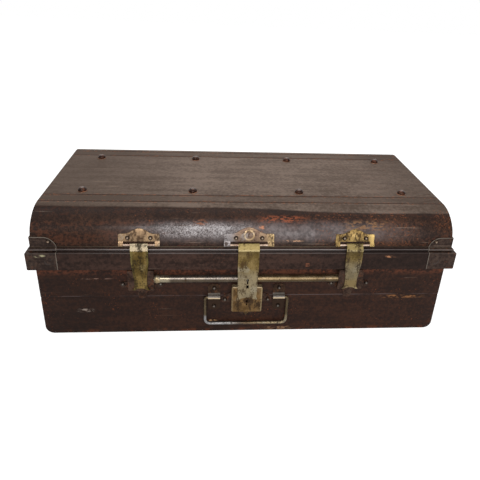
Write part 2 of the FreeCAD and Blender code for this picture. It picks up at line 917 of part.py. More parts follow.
def make_hasp_strap(node, offset, width, waist, bottom, openings, eye_height):
    """Strap with a rolled top, a fishtail foot and a staple on its back."""
    half = width / 2
    barrel = S.hasp_barrel_radius
    height = hasp_pin_height
    body = new_body("Strap")
    lower = bottom - S.cut_overrun
    pad(body, "YZ_Plane", [[
        (strap_front, lower),
        (strap_back, lower),
        (strap_back, strap_bend_height),
        (pin_y - barrel + S.strap_thickness, height),
        (pin_y - barrel, height),
        (strap_front, strap_bend_height),
    ]], width, symmetric=True)
    pad(body, "YZ_Plane", [("circle", pin_y, height, barrel)], width, symmetric=True)
    pocket(body, "YZ_Plane", [regular(pin_y, height, bore_radius, PRISM_SIDES)], symmetric=True)
    arch = S.fishtail_arch
    foot = half * S.fishtail_arch_share
    neck = bottom + S.fishtail_height
    trim(body, "XZ_Plane", mirrored([
        (ZERO, bottom + arch),
        (foot, bottom, -(foot * foot + arch * arch) / (arch * 2)),
        (half, bottom),
        (waist / 2, neck, -S.fishtail_bend_radius),
        (waist / 2, neck + S.fishtail_height),
        (half, strap_bend_height - (strap_bend_height - neck) / 3),
        (half, height + barrel * 2),
    ]))
    for outline in openings:
        pocket(body, "XZ_Plane", [outline], symmetric=True)
    end = strap_back + S.staple_reach
    eye_back = end - S.staple_wall
    eye_front = eye_back - S.staple_eye_depth
    eye_half = S.staple_eye_height / 2
    tall = eye_half + S.staple_wall
    pad(body, "YZ_Plane", [[
        (strap_back, eye_height - tall),
        (end, eye_height - tall),
        (end, eye_height + tall),
        (strap_back, eye_height + tall),
    ]], S.staple_width, symmetric=True)
    pocket(body, "YZ_Plane", [[
        (eye_front, eye_height - eye_half),
        (eye_back, eye_height - eye_half),
        (eye_back, eye_height + eye_half),
        (eye_front, eye_height + eye_half),
    ]], symmetric=True)
    keep(node, place(body, x=offset))


def keyhole(height):
    """Round head over a slot, as two outlines that overlap."""
    half = S.keyhole_slot_width / 2
    foot = height - S.keyhole_radius - S.keyhole_slot_drop
    return [("circle", ZERO, height, S.keyhole_radius), mirrored([(half, foot), (half, height)])]


def make_hasps():
    window_top = bar_height - S.window_drop
    half = S.window_width / 2
    window = mirrored([(half, window_top - S.window_height), (half, window_top)])
    openings = keyhole(bar_height + S.keyhole_radius) + [window]
    low = bar_height - S.center_strap_reach
    sets = [("center", ZERO, S.center_plate_width, S.center_plate_slot, S.center_plate_shoulder,
             S.center_plate_apex, S.center_strap_width, S.center_strap_waist, low, openings, bolt_height)]
    low = bar_height - S.side_strap_reach
    for side, name in ((-1, "left"), (1, "right")):
        sets.append((name, side * S.side_hasp_offset, S.side_plate_width, S.side_plate_slot,
                     S.side_plate_shoulder, S.side_plate_apex, S.side_strap_width, S.side_strap_waist,
                     low, [], bar_height))
    for name, offset, width, slot, shoulder, apex, strap, waist, bottom, cuts, eye in sets:
        make_hasp_plate(f"hasp_plate_{name}", offset, width, slot, shoulder, apex)
        pin = many_sided(S.hasp_pin_radius, width, "x", offset - width / 2, pin_y, hasp_pin_height)
        keep(f"hasp_pin_{name}", pin)
        make_hasp_strap(f"hasp_strap_{name}", offset, strap, waist, bottom, cuts, eye)


# Locks: boxes, their base plates, the bar casing and what slides inside

base_front = wall_y + S.plate_thickness
box_front = wall_y + S.box_depth
staple_half = S.staple_width / 2 + S.staple_clearance
bar_front = wall_y + S.lock_bar_front
bar_back = bar_front - S.lock_bar_depth


def make_case(body, half, bottom, top, eye_height):
    """A box open at the back, with a notch in its front and top for a staple."""
    bend = S.box_corner_radius
    wall = S.box_wall

    def outline(shrink):
        return mirrored([
            (half - bend, bottom + shrink),
            (half - shrink, bottom + bend),
            (half - shrink, top - bend),
            (half - bend, top - shrink),
        ])
    depth = box_front - base_front
    pad(body, "XZ_Plane", [outline(ZERO)], depth, level=base_front)
    pocket(body, "XZ_Plane", [outline(wall)], depth - wall, level=base_front, towards_normal=True)
    foot = eye_height - S.staple_eye_height / 2 - S.staple_wall - S.staple_clearance
    notch = mirrored([(staple_half, foot), (staple_half, top + S.cut_overrun)])
    pocket(body, "XZ_Plane", [notch], symmetric=True)


def make_center_lock():
    half = S.lock_box_width / 2
    plate = new_body("LockPlate")
    fan = S.lock_pendant_radius
    wing = S.lock_wing_width / 2
    bend = S.lock_wing_corner_radius
    low = lock_box_bottom
    pad(plate, "XZ_Plane", [mirrored([
        (ZERO, low - fan),
        (fan, low, fan),
        (half, low),
        (half, low + S.lock_wing_bottom),
        (wing - bend, low + S.lock_wing_bottom),
        (wing, low + S.lock_wing_bottom + bend, bend),
        (wing, low + S.lock_wing_tip),
        (half + bend, low + S.lock_wing_top),
        (half, low + S.lock_wing_top),
        (half, lock_box_top),
    ])], S.plate_thickness, level=wall_y)
    keep("lock_base_plate", plate)
    case = new_body("LockCase")
    make_case(case, half, lock_box_bottom, lock_box_top, bolt_height)
    for outline in keyhole(lock_keyhole_height):
        pocket(case, "XZ_Plane", [outline], symmetric=True)
    keep("lock_box", case)
    bolt = new_body("Bolt")
    start = staple_half + S.staple_clearance
    tall = S.bolt_width / 2
    heel = start + S.bolt_tip
    tip = [(start, bolt_height - tall), (heel, bolt_height - tall),
           (heel, bolt_height + tall), (start, bolt_height + tall)]
    back = base_front + S.seat_gap
    block = [(heel, bolt_height - tall * 2), (heel + S.bolt_heel, bolt_height - tall * 2),
             (heel + S.bolt_heel, bolt_height + tall * 2), (heel, bolt_height + tall * 2)]
    pad(bolt, "XZ_Plane", [block], bar_front - back, level=back)
    pad(bolt, "XZ_Plane", [tip], S.lock_bar_depth, level=bar_back)
    keep("lock_bolt", bolt)


def make_bar_casing():
    """Half-round channel against the wall, from one catch to the other."""
    outer = S.casing_radius
    inner = outer - S.casing_wall
    axis = wall_y + S.casing_center_depth
    height = bar_height
    body = new_body("Casing")
    pad(body, "YZ_Plane", [[
        (-wall_y, height - outer),
        (-axis, height - outer),
        (-(axis + outer), height, -outer),
        (-axis, height + outer, -outer),
        (-wall_y, height + outer),
        (-wall_y, height + inner),
        (-axis, height + inner),
        (-(axis + inner), height, inner),
        (-axis, height - inner, inner),
        (-wall_y, height - inner),
    ]], (S.side_hasp_offset - S.catch_width / 2) * 2, symmetric=True)
    for outline in keyhole(bar_height + S.keyhole_radius):
        pocket(body, "XZ_Plane", [outline], symmetric=True)
    keep("bar_casing", body)


def make_side_catch(side, name):
    offset = side * S.side_hasp_offset
    half = S.catch_width / 2
    wing = S.catch_plate_width / 2
    bend = S.catch_wing_cut
    fan = S.catch_pendant_radius
    plate = new_body("CatchPlate")
    pad(plate, "XZ_Plane", [mirrored([
        (ZERO, catch_pendant_bottom),
        (fan, catch_pendant_bottom + fan, fan),
        (half, catch_wing_bottom, -(half - fan)),
        (wing - bend, catch_wing_bottom),
        (wing, catch_wing_bottom + bend),
        (wing, catch_wing_top - bend),
        (wing - bend, catch_wing_top),
        (half, catch_wing_top),
        (half, catch_top),
    ])], S.plate_thickness, level=wall_y)
    keep(f"catch_base_{name}", place(plate, x=offset))
    case = new_body("CatchCase")
    make_case(case, half, catch_bottom, catch_top, bar_height)
    gap = S.bar_clearance
    reach = (half - S.box_wall * 2, half + S.box_wall)
    reach = reach if side < 0 else (-reach[1], -reach[0])
    passage = box(
        reach,
        (-(bar_front + gap), -(bar_back - gap)),
        (bar_height - S.lock_bar_width / 2 - gap, bar_height + S.lock_bar_width / 2 + gap),
    )
    keep(f"catch_box_{name}", place(cut(case, passage), x=offset))


GEAR_TEETH = 10
gear_radius = S.gear_module * GEAR_TEETH / 2
gear_addendum = S.gear_module * S.gear_addendum_share
gear_dedendum = S.gear_module * S.gear_dedendum_share
tooth_pitch = S.gear_module * math.pi
tooth_thickness = (tooth_pitch - S.gear_backlash) / 2


def make_key_gear():
    """Pinion on a post behind the upper keyhole: the key turns it, and it drives both bars."""
    body = new_body("KeyGear")
    hub = ("circle", ZERO, ZERO, gear_radius - gear_dedendum)
    pad(body, "XZ_Plane", [hub], S.lock_bar_depth, level=bar_back)
    base = gear_radius * cosine(S.gear_pressure)
    outer = gear_radius + gear_addendum
    widest = tooth_thickness / gear_radius * (90 / math.pi) + involute(S.gear_pressure)
    flank = [(widest, base - gear_dedendum), (widest, base)]
    for radius in (gear_radius, (gear_radius + outer) / 2, outer):
        flank.append((widest - involute(S.right_angle - arc_sine(base / radius)), radius))
    tooth = mirrored([(radius * sine(angle), radius * cosine(angle)) for angle, radius in flank])
    first = pad(body, "XZ_Plane", [tooth], S.lock_bar_depth, level=bar_back)
    teeth = body.newObject("PartDesign::PolarPattern", "Teeth")
    teeth.Originals = [first]
    teeth.Axis = ([item for item in body.Origin.OriginFeatures if item.Role == "Y_Axis"][0], [""])
    teeth.Angle = 360
    teeth.Occurrences = GEAR_TEETH
    body.Tip = teeth
    document.recompute()
    half = S.gear_slot_width / 2
    slot = mirrored([(half, -S.gear_slot_length / 2), (half, S.gear_slot_length / 2)])
    pocket(body, "XZ_Plane", [slot], S.gear_slot_depth, level=bar_front)
    bore = S.gear_post_radius + S.gear_post_play
    pocket(body, "XZ_Plane", [("circle", ZERO, ZERO, bore)], symmetric=True)
    keep("key_gear", place(body, z=bar_height))
    seat = bar_back - S.gear_post_play
    tip = bar_front - S.gear_slot_depth
    collar = many_sided(S.gear_post_radius * 2, seat - wall_y, "-y", ZERO, -wall_y, bar_height)
    pin = many_sided(S.gear_post_radius, tip - wall_y, "-y", ZERO, -wall_y, bar_height)
    keep("key_gear_post", fuse([collar, pin]))


def make_lock_bar(side, name):
    """Sliding bar: a plain outer end and a toothed inner end beside the key's gear."""
    body = new_body("LockBar")
    half = S.lock_bar_width / 2
    height = bar_height
    end = S.side_hasp_offset - S.staple_width / 2 - S.lock_bar_staple_gap
    shoulder = S.rack_reach
    back = S.rack_back
    line = gear_radius + gear_dedendum
    slope = sine(S.gear_pressure) / cosine(S.gear_pressure)
    foot = tooth_thickness / 2 + gear_dedendum * slope
    tip = tooth_thickness / 2 - gear_addendum * slope
    teeth = []
    for number in range(-10, 3):
        center = tooth_pitch * (number + 0.5)
        for out, level in ((-foot, line), (-tip, gear_radius - gear_addendum)):
            teeth.append((center + out, height + level))
        for out, level in ((tip, gear_radius - gear_addendum), (foot, line)):
            teeth.append((center + out, height + level))
    outline = [
        (end, height - half),
        (end, height + half),
        (shoulder + S.rack_shoulder, height + half),
        (shoulder + S.rack_shoulder, height + back),
        (-S.rack_tail, height + back),
        (-S.rack_tail, height + line),
        *teeth,
        (shoulder, height + line),
        (shoulder, height - half),
    ]
    if side < 0:
        outline = mirror_left(outline)
    else:
        outline = [(x, height * 2 - z) for x, z in outline]
    pad(body, "XZ_Plane", [outline], S.lock_bar_depth, level=bar_back)
    keep(f"lock_bar_{name}", body)


# Drop handles: a bent wire in two clips, drawn on the front wall and turned for the ends

wire_y = wall_y + S.bail_wall_gap


def turned(item, side):
    """Move a piece that is drawn on the front wall to an end wall."""
    if side:
        item.Placement = FreeCAD.Placement(Vector(), FreeCAD.Rotation(Vector(0, 0, 1), side * 90))
        place(item, x=side * (wall_x - wall_y))
    return item


def make_bail(node, height, side):
    body = new_body("Bail")
    tail = S.clip_offset - S.bail_tail
    half = S.bail_half_width
    upper = S.bail_upper_bend
    lower = S.bail_lower_bend
    floor = height - S.bail_drop
    path = body.newObject("Sketcher::SketchObject", "Path")
    support = [item for item in body.Origin.OriginFeatures if item.Role == "XZ_Plane"][0]
    path.AttachmentSupport = [(support, "")]
    path.MapMode = "FlatFace"
    bind(path, "AttachmentOffset.Base.z", wire_y)
    draw(path, [
        (-tail, height),
        (upper - half, height),
        (-half, height - upper),
        (-half, floor + lower),
        (lower - half, floor),
        (half - lower, floor),
        (half, floor + lower),
        (half, height - upper),
        (half - upper, height),
        (tail, height),
    ], closed=False)
    wire = sketch_in(body, "YZ_Plane", [regular(-wire_y, height, S.bail_wire_radius, 8)], level=-tail)
    pipe = body.newObject("PartDesign::AdditivePipe", "Wire")
    pipe.Profile = wire
    pipe.Spine = (path, [f"Edge{number + 1}" for number in range(path.GeometryCount)])
    pipe.Transition = "Right corner"
    document.recompute()
    keep(node, turned(body, side))


def make_clip(height, offset, side):
    """Strap bent over the wire, flat on the wall above and below it."""
    body = new_body("Clip")
    inner = S.bail_wire_radius + S.bail_play
    outer = inner + S.plate_thickness
    top = height + S.clip_reach_up
    bottom = height - S.clip_reach_down
    start = offset - S.clip_width / 2
    pad(body, "YZ_Plane", [[
        (-wall_y, bottom),
        (-wall_y, height - inner),
        (-wire_y, height - inner),
        (-(wire_y + inner), height, -inner),
        (-wire_y, height + inner, -inner),
        (-wall_y, height + inner),
        (-wall_y, top),
        (-base_front, top),
        (-base_front, height + outer),
        (-wire_y, height + outer),
        (-(wire_y + outer), height, outer),
        (-wire_y, height - outer, outer),
        (-base_front, height - outer),
        (-base_front, bottom),
    ]], S.clip_width, level=start)
    bend = S.clip_corner_cut
    low, high = start, start + S.clip_width
    trim(body, "XZ_Plane", [
        (low + bend, bottom),
        (high - bend, bottom),
        (high, bottom + bend),
        (high, top - bend),
        (high - bend, top),
        (low + bend, top),
        (low, top - bend),
        (low, bottom + bend),
    ])
    return turned(body, side)


def make_handles():
    end_height = parting * S.end_bail_share
    handles = (
        ("front", 0, bar_height * S.front_bail_share),
        ("left", -1, end_height),
        ("right", 1, end_height),
    )
    rivets = []
    for name, side, height in handles:
        make_bail(f"{name}_handle_bail", height, side)
        clips = []
        for hand in (-1, 1):
            offset = hand * S.clip_offset
            clips.append(make_clip(height, offset, side))
            for z in (height + S.clip_rivet_rise, height - S.clip_rivet_drop):
                rivets.append(turned_rivet(offset, z, side))
        keep(f"{name}_handle_clips", group(clips))
    return rivets


def turned_rivet(offset, z, side):
    if side == 0:
        return rivet("-y", offset, -base_front, z)
    face = wall_x + S.plate_thickness
    return rivet("x" if side > 0 else "-x", side * face, side * offset, z)


# Back hinges: one leaf on the skirt, one on the wall, joined by a pin

hinge_y = half_depth + S.hinge_barrel_radius


def make_hinge(side, name):
    offset = side * S.hinge_offset
    half = S.hinge_width / 2
    middle = S.hinge_knuckle / 2
    gap = S.hinge_knuckle_gap
    height = hinge_height
    barrel = S.hinge_barrel_radius
    bore = around(S.hinge_pin_radius + S.hinge_pin_play)
    leaf = (half_depth, half_depth + S.hinge_leaf_thickness)
    above = height + barrel + gap
    lid_leaf = fuse([
        box((offset - half, offset + half), leaf, (above, hinge_lid_leaf_top)),
        box((offset - middle, offset + middle), leaf, (height, above)),
        cylinder(barrel, S.hinge_knuckle, "x", offset, hinge_y, height),
    ])
    hole = many_sided(bore, S.hinge_width, "x", offset - half, hinge_y, height)
    keep(f"hinge_lid_leaf_{name}", cut(lid_leaf, hole))
    web = (height - barrel, height - barrel + S.hinge_web_thickness)
    notch = half_depth - gap * 2
    parts = [
        box((offset - half, offset + half), (wall_y, wall_y + S.hinge_leaf_thickness),
            (hinge_body_leaf_bottom, web[1])),
        box((offset - half, offset + half), (wall_y, notch), web),
    ]
    for hand in (-1, 1):
        length = half - middle - gap
        center = offset + hand * (half - length / 2)
        parts.append(box((center - length / 2, center + length / 2), (notch, hinge_y), web))
        parts.append(cylinder(barrel, length, "x", center, hinge_y, height))
    hole = many_sided(bore, S.hinge_width, "x", offset - half, hinge_y, height)
    keep(f"hinge_body_leaf_{name}", cut(fuse(parts), hole))
    pin = many_sided(S.hinge_pin_radius, S.hinge_width, "x", offset - half, hinge_y, height)
    keep(f"hinge_pin_{name}", pin)


# Rivets, grouped by the body that carries them


def make_body_rivets(handle_rivets):
    heads = list(handle_rivets)
    for hand in (-1, 1):
        x = hand * S.lock_wing_rivet
        heads.append(rivet("-y", x, -base_front, lock_box_bottom + S.lock_wing_rivet_rise))
        for side in (-1, 1):
            x = side * S.side_hasp_offset + hand * S.catch_rivet
            heads.append(rivet("-y", x, -base_front, bar_height - S.catch_rivet_drop))
            x = side * S.hinge_offset + hand * S.hinge_rivet_offset
            low = hinge_body_leaf_bottom + S.hinge_rivet_margin
            heads.append(rivet("y", x, wall_y + S.hinge_leaf_thickness, low))
    keep("body_rivets", group(heads))


def make_lid_rivets():
    heads = []
    lap = S.lap_inset - S.cap_thickness
    for hand in (-1, 1):
        heads.append(plate_rivet(hand * S.center_plate_rivet))
        for side in (-1, 1):
            heads.append(plate_rivet(side * S.side_hasp_offset + hand * S.side_plate_rivet))
            x = side * S.hinge_offset + hand * S.hinge_rivet_offset
            high = hinge_lid_leaf_top - S.hinge_rivet_margin
            heads.append(rivet("y", x, half_depth + S.hinge_leaf_thickness, high))
            x = side * (half_length - S.cap_rivet_margin)
            heads.append(rivet("y" if hand > 0 else "-y", x, hand * (half_depth - lap), cap_rivet_height))
            y = hand * (half_depth - S.cap_rivet_margin)
            heads.append(rivet("x" if side > 0 else "-x", side * (half_length - lap), y, cap_rivet_height))
    keep("lid_rivets", group(heads))


make_body_wrapper()
make_body_panel("body_front_panel", -1)
make_body_panel("body_back_panel", 1)
make_body_rim()
make_lid_top_sheet()
make_lid_end("lid_end_left", -1)
make_lid_end("lid_end_right", 1)
make_lid_rim_band()
make_corner_caps()
make_studs()
make_hasps()
make_center_lock()
make_bar_casing()
make_key_gear()
for side, name in ((-1, "left"), (1, "right")):
    make_side_catch(side, name)
    make_lock_bar(side, name)
    make_hinge(side, name)
make_body_rivets(make_handles())
make_lid_rivets()

document.recompute()

for item in document.Objects:
    if "Invalid" in item.State or "Error" in item.State:
        raise RuntimeError(f"{item.Name} ({item.Label}) failed: {item.State}")

os.makedirs("parts", exist_ok=True)
for node, item in nodes.items():
    shape = item.Shape
    if shape.isNull() or not shape.isValid():
        raise RuntimeError(f"{node} has no valid shape")
    shape.exportStep(f"parts/{node}.step")
    print(node, len(shape.Solids), round(shape.Volume))
print(len(nodes), "sub-parts written")
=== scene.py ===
# %% Load the steel trunk
import math

import bmesh
import bpy
from mathutils import Matrix, Vector
from mathutils.bvhtree import BVHTree


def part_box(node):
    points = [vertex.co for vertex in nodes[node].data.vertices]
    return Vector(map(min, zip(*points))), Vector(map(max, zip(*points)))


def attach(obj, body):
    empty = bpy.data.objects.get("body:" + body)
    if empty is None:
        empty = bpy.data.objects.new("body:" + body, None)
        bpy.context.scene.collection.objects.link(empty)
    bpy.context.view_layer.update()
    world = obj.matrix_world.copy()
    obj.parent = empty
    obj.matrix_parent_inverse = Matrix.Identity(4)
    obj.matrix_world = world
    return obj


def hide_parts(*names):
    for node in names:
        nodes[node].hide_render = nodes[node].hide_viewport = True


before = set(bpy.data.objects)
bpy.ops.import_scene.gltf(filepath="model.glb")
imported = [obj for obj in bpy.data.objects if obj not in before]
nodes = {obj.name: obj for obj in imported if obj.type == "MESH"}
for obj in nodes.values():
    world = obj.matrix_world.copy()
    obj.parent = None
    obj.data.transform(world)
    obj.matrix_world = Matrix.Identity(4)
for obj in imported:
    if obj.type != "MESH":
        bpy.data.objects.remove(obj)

scene = bpy.context.scene
scene.view_settings.view_transform = "Standard"
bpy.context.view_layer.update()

# %% [markdown]
# A steel trunk of this kind is folded from thin sheet, painted dark brown and fitted with brass
# and iron. The solids carry the form. This lesson gives them paint, rust, patina and the round
# heads and wires that the plain solids only block out.
#
# The first step is the eye of the viewer. The photograph was taken from a little left of the
# middle, from above, with a wide lens. Its place comes from fitting the trunk's corners, studs
# and lines. A camera can be aimed with a Track To constraint, but a matrix made of its three
# directions holds the slight roll of the picture exactly.

# %% Camera
YAW, PITCH, ROLL = 0.1001, 0.4407, 0.0506
EYE = Vector((-0.06756, -0.94675, 0.61967))
FOCAL_PIXELS, PICTURE_PIXELS, SENSOR = 491.21, 480, 36.0
OFF_CENTRE = (15.31, 32.66)

ahead = Vector((
    math.sin(YAW) * math.cos(PITCH), math.cos(YAW) * math.cos(PITCH), -math.sin(PITCH)))
level = Vector((math.cos(YAW), -math.sin(YAW), 0))
above = level.cross(ahead)
right = level * math.cos(ROLL) + above * math.sin(ROLL)
up = above * math.cos(ROLL) - level * math.sin(ROLL)
lens = bpy.data.cameras.new("camera")
lens.sensor_width = SENSOR
lens.lens = FOCAL_PIXELS / PICTURE_PIXELS * SENSOR
lens.shift_x = -OFF_CENTRE[0] / PICTURE_PIXELS
lens.shift_y = -OFF_CENTRE[1] / PICTURE_PIXELS
camera = bpy.data.objects.new("camera", lens)
directions = Matrix((right, up, -ahead)).transposed().to_4x4()
camera.matrix_world = Matrix.Translation(EYE) @ directions
scene.collection.objects.link(camera)
scene.camera = camera
print("lens", round(lens.lens, 2), "mm at", [round(c, 3) for c in EYE])

# %% [markdown]
# Every finish below is a tree of shader nodes. Written out node by node such a tree is hard to
# read, so a small class wraps one output socket. Sums on it add Math nodes, and `1 - mask`
# works because the reflected operators are there too. One method makes any other node.


# %% Shader sums
AXIS_X, AXIS_Z = 0, 2
# only the trunk's front lies before this y
FRONT_REACH = -0.1


class Value:
    """An output socket of a shader tree that can stand in a sum."""

    def __init__(self, tree, socket):
        self.tree = tree
        self.socket = socket

    def node(self, kind, settings=None, inputs=None, output=0):
        made = self.tree.nodes.new(kind)
        for name, setting in (settings or {}).items():
            setattr(made, name, setting)
        for name, value in (inputs or {}).items():
            if isinstance(value, Value):
                self.tree.links.new(value.socket, made.inputs[name])
            else:
                made.inputs[name].default_value = value
        return Value(self.tree, made.outputs[output] if made.outputs else None)

    def maths(self, operation, *others):
        inputs = dict(enumerate((self, *others)))
        return self.node("ShaderNodeMath", {"operation": operation}, inputs)

    def __add__(self, other):
        return self.maths("ADD", other)

    def __sub__(self, other):
        return self.maths("SUBTRACT", other)

    def __rsub__(self, other):
        return (self * -1).maths("ADD", other)

    def __mul__(self, other):
        return self.maths("MULTIPLY", other)

    def __abs__(self):
        return self.maths("ABSOLUTE")

    def __lt__(self, other):
        return self.maths("LESS_THAN", other)

    def over(self, other):
        return self.maths("MAXIMUM", other)

    def under(self, other):
        return self.maths("MINIMUM", other)

    __radd__ = __add__
    __rmul__ = __mul__


def step(value, low, high):
    """0 at low and 1 at high, with a smooth way between; low may be the larger one."""
    settings = {"interpolation_type": "SMOOTHSTEP"}
    inputs = {"Value": value, "From Min": low, "From Max": high}
    return value.node("ShaderNodeMapRange", settings, inputs)


def mix(mask, first, second):
    """Colour first where the mask is 0 and second where it is 1."""
    def color(item):
        return item if isinstance(item, Value) else (*item, 1.0)
    inputs = {0: mask, 6: color(first), 7: color(second)}
    return mask.node("ShaderNodeMix", {"data_type": "RGBA"}, inputs, 2)


def noise(place, scale, detail=3.0, rough=0.55, stretch=(1, 1, 1), shift=(0, 0, 0)):
    """Cloudy noise between 0 and 1; scale counts the blotches in a metre."""
    mapping = {"Vector": place, "Scale": stretch, "Location": shift}
    spread = place.node("ShaderNodeMapping", None, mapping)
    inputs = {"Vector": spread, "Scale": scale, "Detail": detail, "Roughness": rough}
    return place.node("ShaderNodeTexNoise", None, inputs, 0)


def pits(place, scale, size):
    """0 in the middle of small scattered pits and 1 outside them."""
    inputs = {"Vector": place, "Scale": scale}
    return step(place.node("ShaderNodeTexVoronoi", None, inputs, "Distance"), 0.05, size)


class Finish:
    """A new material: its place on the piece, and the shader that it ends in."""

    def __init__(self, name, **constants):
        self.material = bpy.data.materials.new(name)
        self.material.use_nodes = True
        tree = self.material.node_tree
        tree.nodes.clear()
        self.shader = tree.nodes.new("ShaderNodeBsdfPrincipled")
        end = tree.nodes.new("ShaderNodeOutputMaterial")
        tree.links.new(self.shader.outputs[0], end.inputs[0])
        start = tree.nodes.new("ShaderNodeTexCoord")
        self.place = Value(tree, start.outputs["Object"])
        self.axes = [
            self.place.node("ShaderNodeSeparateXYZ", None, {0: self.place}, axis)
            for axis in range(3)]
        self.x, self.y, self.z = self.axes
        for socket, value in constants.items():
            self.shader.inputs[socket.replace("_", " ")].default_value = value

    def set(self, socket, value):
        self.place.tree.links.new(value.socket, self.shader.inputs[socket])

    def relief(self, height, depth, strength=1.0):
        """A bump: height between 0 and 1 stands for so many metres."""
        inputs = {"Height": height, "Distance": depth, "Strength": strength}
        self.set("Normal", self.place.node("ShaderNodeBump", None, inputs, "Normal"))


def patch(paint, middle, x_reach, z_reach):
    """A soft patch round an (x, z): 0 at the first of each reach and 1 at the second."""
    return step(abs(paint.x - middle[0]), *x_reach) * step(abs(paint.z - middle[1]), *z_reach)


def scrapes(paint, coat, marks):
    """Ragged worn marks on the front: (x, z, half length, half height, strength, colour)."""
    grit = noise(paint.place, 260, 3, 0.65, (0.4, 1, 1)) * (paint.y < FRONT_REACH)
    for x, z, half, tall, strength, color in marks:
        near = patch(paint, (x, z), (half, half * 0.3), (tall, tall * 0.3))
        coat = mix(near * step(grit, 0.47, 0.56) * strength, coat, color)
    return coat


print("shader sums ready")

# %% [markdown]
# The trunk stands on white, as in a catalogue. A strong lamp could burn the floor out, but it
# would bleach the trunk as well. So the floor and the world are simply white to the camera and
# to reflections, through Light Path, and the lamps stay at a plain level.


# %% Floor and world
def white_to_camera(tree, plain, white):
    """Mixes a plain shader with a white one that only the camera and reflections see."""
    path = tree.nodes.new("ShaderNodeLightPath")
    seen = Value(tree, path.outputs["Is Camera Ray"])
    for ray in ("Is Glossy Ray", "Is Transmission Ray"):
        seen = seen.over(Value(tree, path.outputs[ray]))
    return seen.node("ShaderNodeMixShader", None, {0: seen, 1: plain, 2: white})


world = bpy.data.worlds.new("studio")
scene.world = world
world.use_nodes = True
world.node_tree.nodes.clear()
ground = Value(world.node_tree, None)
dim = ground.node("ShaderNodeBackground", None, {"Color": (1, 1, 1, 1), "Strength": 0.45})
white = ground.node("ShaderNodeBackground", None, {"Color": (1, 1, 1, 1), "Strength": 1.0})
surface = white_to_camera(world.node_tree, dim, white)
ground.node("ShaderNodeOutputWorld", None, {"Surface": surface})

floor_mesh = bpy.data.meshes.new("floor")
floor_mesh.from_pydata(
    [(-6, -6, 0), (6, -6, 0), (6, 6, 0), (-6, 6, 0)], [], [(0, 1, 2, 3)])
floor = bpy.data.objects.new("floor", floor_mesh)
scene.collection.objects.link(floor)
paper = bpy.data.materials.new("paper")
paper.use_nodes = True
paper.node_tree.nodes.clear()
sheet = Value(paper.node_tree, None)
matt = sheet.node("ShaderNodeBsdfDiffuse", None, {"Color": (0.8, 0.8, 0.8, 1)})
faint = sheet.node("ShaderNodeBsdfDiffuse", None, {"Color": (0.35, 0.35, 0.35, 1)})
glow = sheet.node("ShaderNodeEmission", None, {"Color": (1, 1, 1, 1), "Strength": 0.88})
lit = sheet.node("ShaderNodeAddShader", None, {0: faint, 1: glow})
surface = white_to_camera(paper.node_tree, matt, lit)
sheet.node("ShaderNodeOutputMaterial", None, {"Surface": surface})
floor_mesh.materials.append(paper)
print("floor and world are white to the camera")

# %% [markdown]
# Three soft lamps do the work of a small studio. A wide one above gives the top its dusty
# light, helped by painted light in the lid's colour. One in front, up and to the left shines on
# the rolled edge, where a painted sheen in the lid's colour makes the long bright patch. A
# low one in front fills the shade under the rim.


# %% Lamps
def lamp(name, place, target, size, watts):
    light = bpy.data.lights.new(name, "AREA")
    light.shape = "RECTANGLE"
    light.size, light.size_y = size
    light.energy = watts
    item = bpy.data.objects.new(name, light)
    item.matrix_world = Matrix.Translation(place) @ (
        (Vector(target) - Vector(place)).to_track_quat("-Z", "Y").to_matrix().to_4x4())
    scene.collection.objects.link(item)
    print(name, watts, "W")


lamp("top_lamp", (0.0, 0.5, 2.2), (0, 0, 0.1), (2.4, 1.6), 26)
lamp("front_lamp", (-0.35, -1.7, 1.55), (0, 0, 0.15), (0.9, 0.5), 20)
lamp("low_lamp", (0.7, -2.2, 0.6), (0, 0, 0.1), (1.6, 0.8), 14)

# %% [markdown]
# The lid is one pressed sheet with a dark brown enamel. On top it carries decades of dust and
# fine scratches that run with the length. Painted light makes the dust palest in the middle
# and at the back, and painted shade darkens it at the ends and between the pressed lines. Over
# the roll the paint is still glossy but pitted, and rust shows through in orange flecks. The
# bright patch a lamp makes there is painted into the colour as well, as a long sheen and a
# speckled highlight. A painted picture could hold all this, but masks that read the place on
# the piece stay sharp at any size. The height tells the flat top from the roll. The distance
# from the roll's middle tells the outside, where the dust lies, from the inside.

# %% Lid colours and places
DUST = (0.160, 0.118, 0.094)
# the darker dust, which also serves as painted shade on the top
DARK_DUST_AND_SHADE = (0.060, 0.040, 0.029)
ENAMEL = (0.046, 0.021, 0.012)
ENAMEL_DARK = (0.012, 0.005, 0.003)
ENAMEL_RED = (0.070, 0.022, 0.010)
RUST = (0.220, 0.070, 0.026)
BARE = (0.330, 0.240, 0.180)
# painted highlight colours for the roll: a long sheen and bright glints where a lamp reflects
PAINTED_SHEEN = (0.150, 0.124, 0.122)
PAINTED_GLINT = (0.520, 0.490, 0.490)
GROOVE_DARK = (0.026, 0.012, 0.008)
SEAM_RUST = (0.260, 0.095, 0.040)
# heights of the flat top and of the dust's lower edge, which sags to the right
FLAT_LOW, FLAT_HIGH = 0.2400, 0.2432
DUST_LOW, DUST_HIGH, DUST_SAG = 0.2434, 0.2452, 0.0042
# the pair of pressed lines by its y, and the roll by the (y, z) of its middle
SEAM_MIDDLE, SEAM_HALF = 0.121, 0.014
ROLL_MIDDLE, ROLL_RADIUS = (0.1359, 0.180), 0.065
# (x, z) of the painted sheen and of the painted glints on the roll, and of the coat's gloss
PAINTED_SHEEN_MIDDLE, PAINTED_GLINT_MIDDLE, GLOSS_MIDDLE = (0.04, 0.2120), (-0.080, 0.2150), (0.01, 0.208)
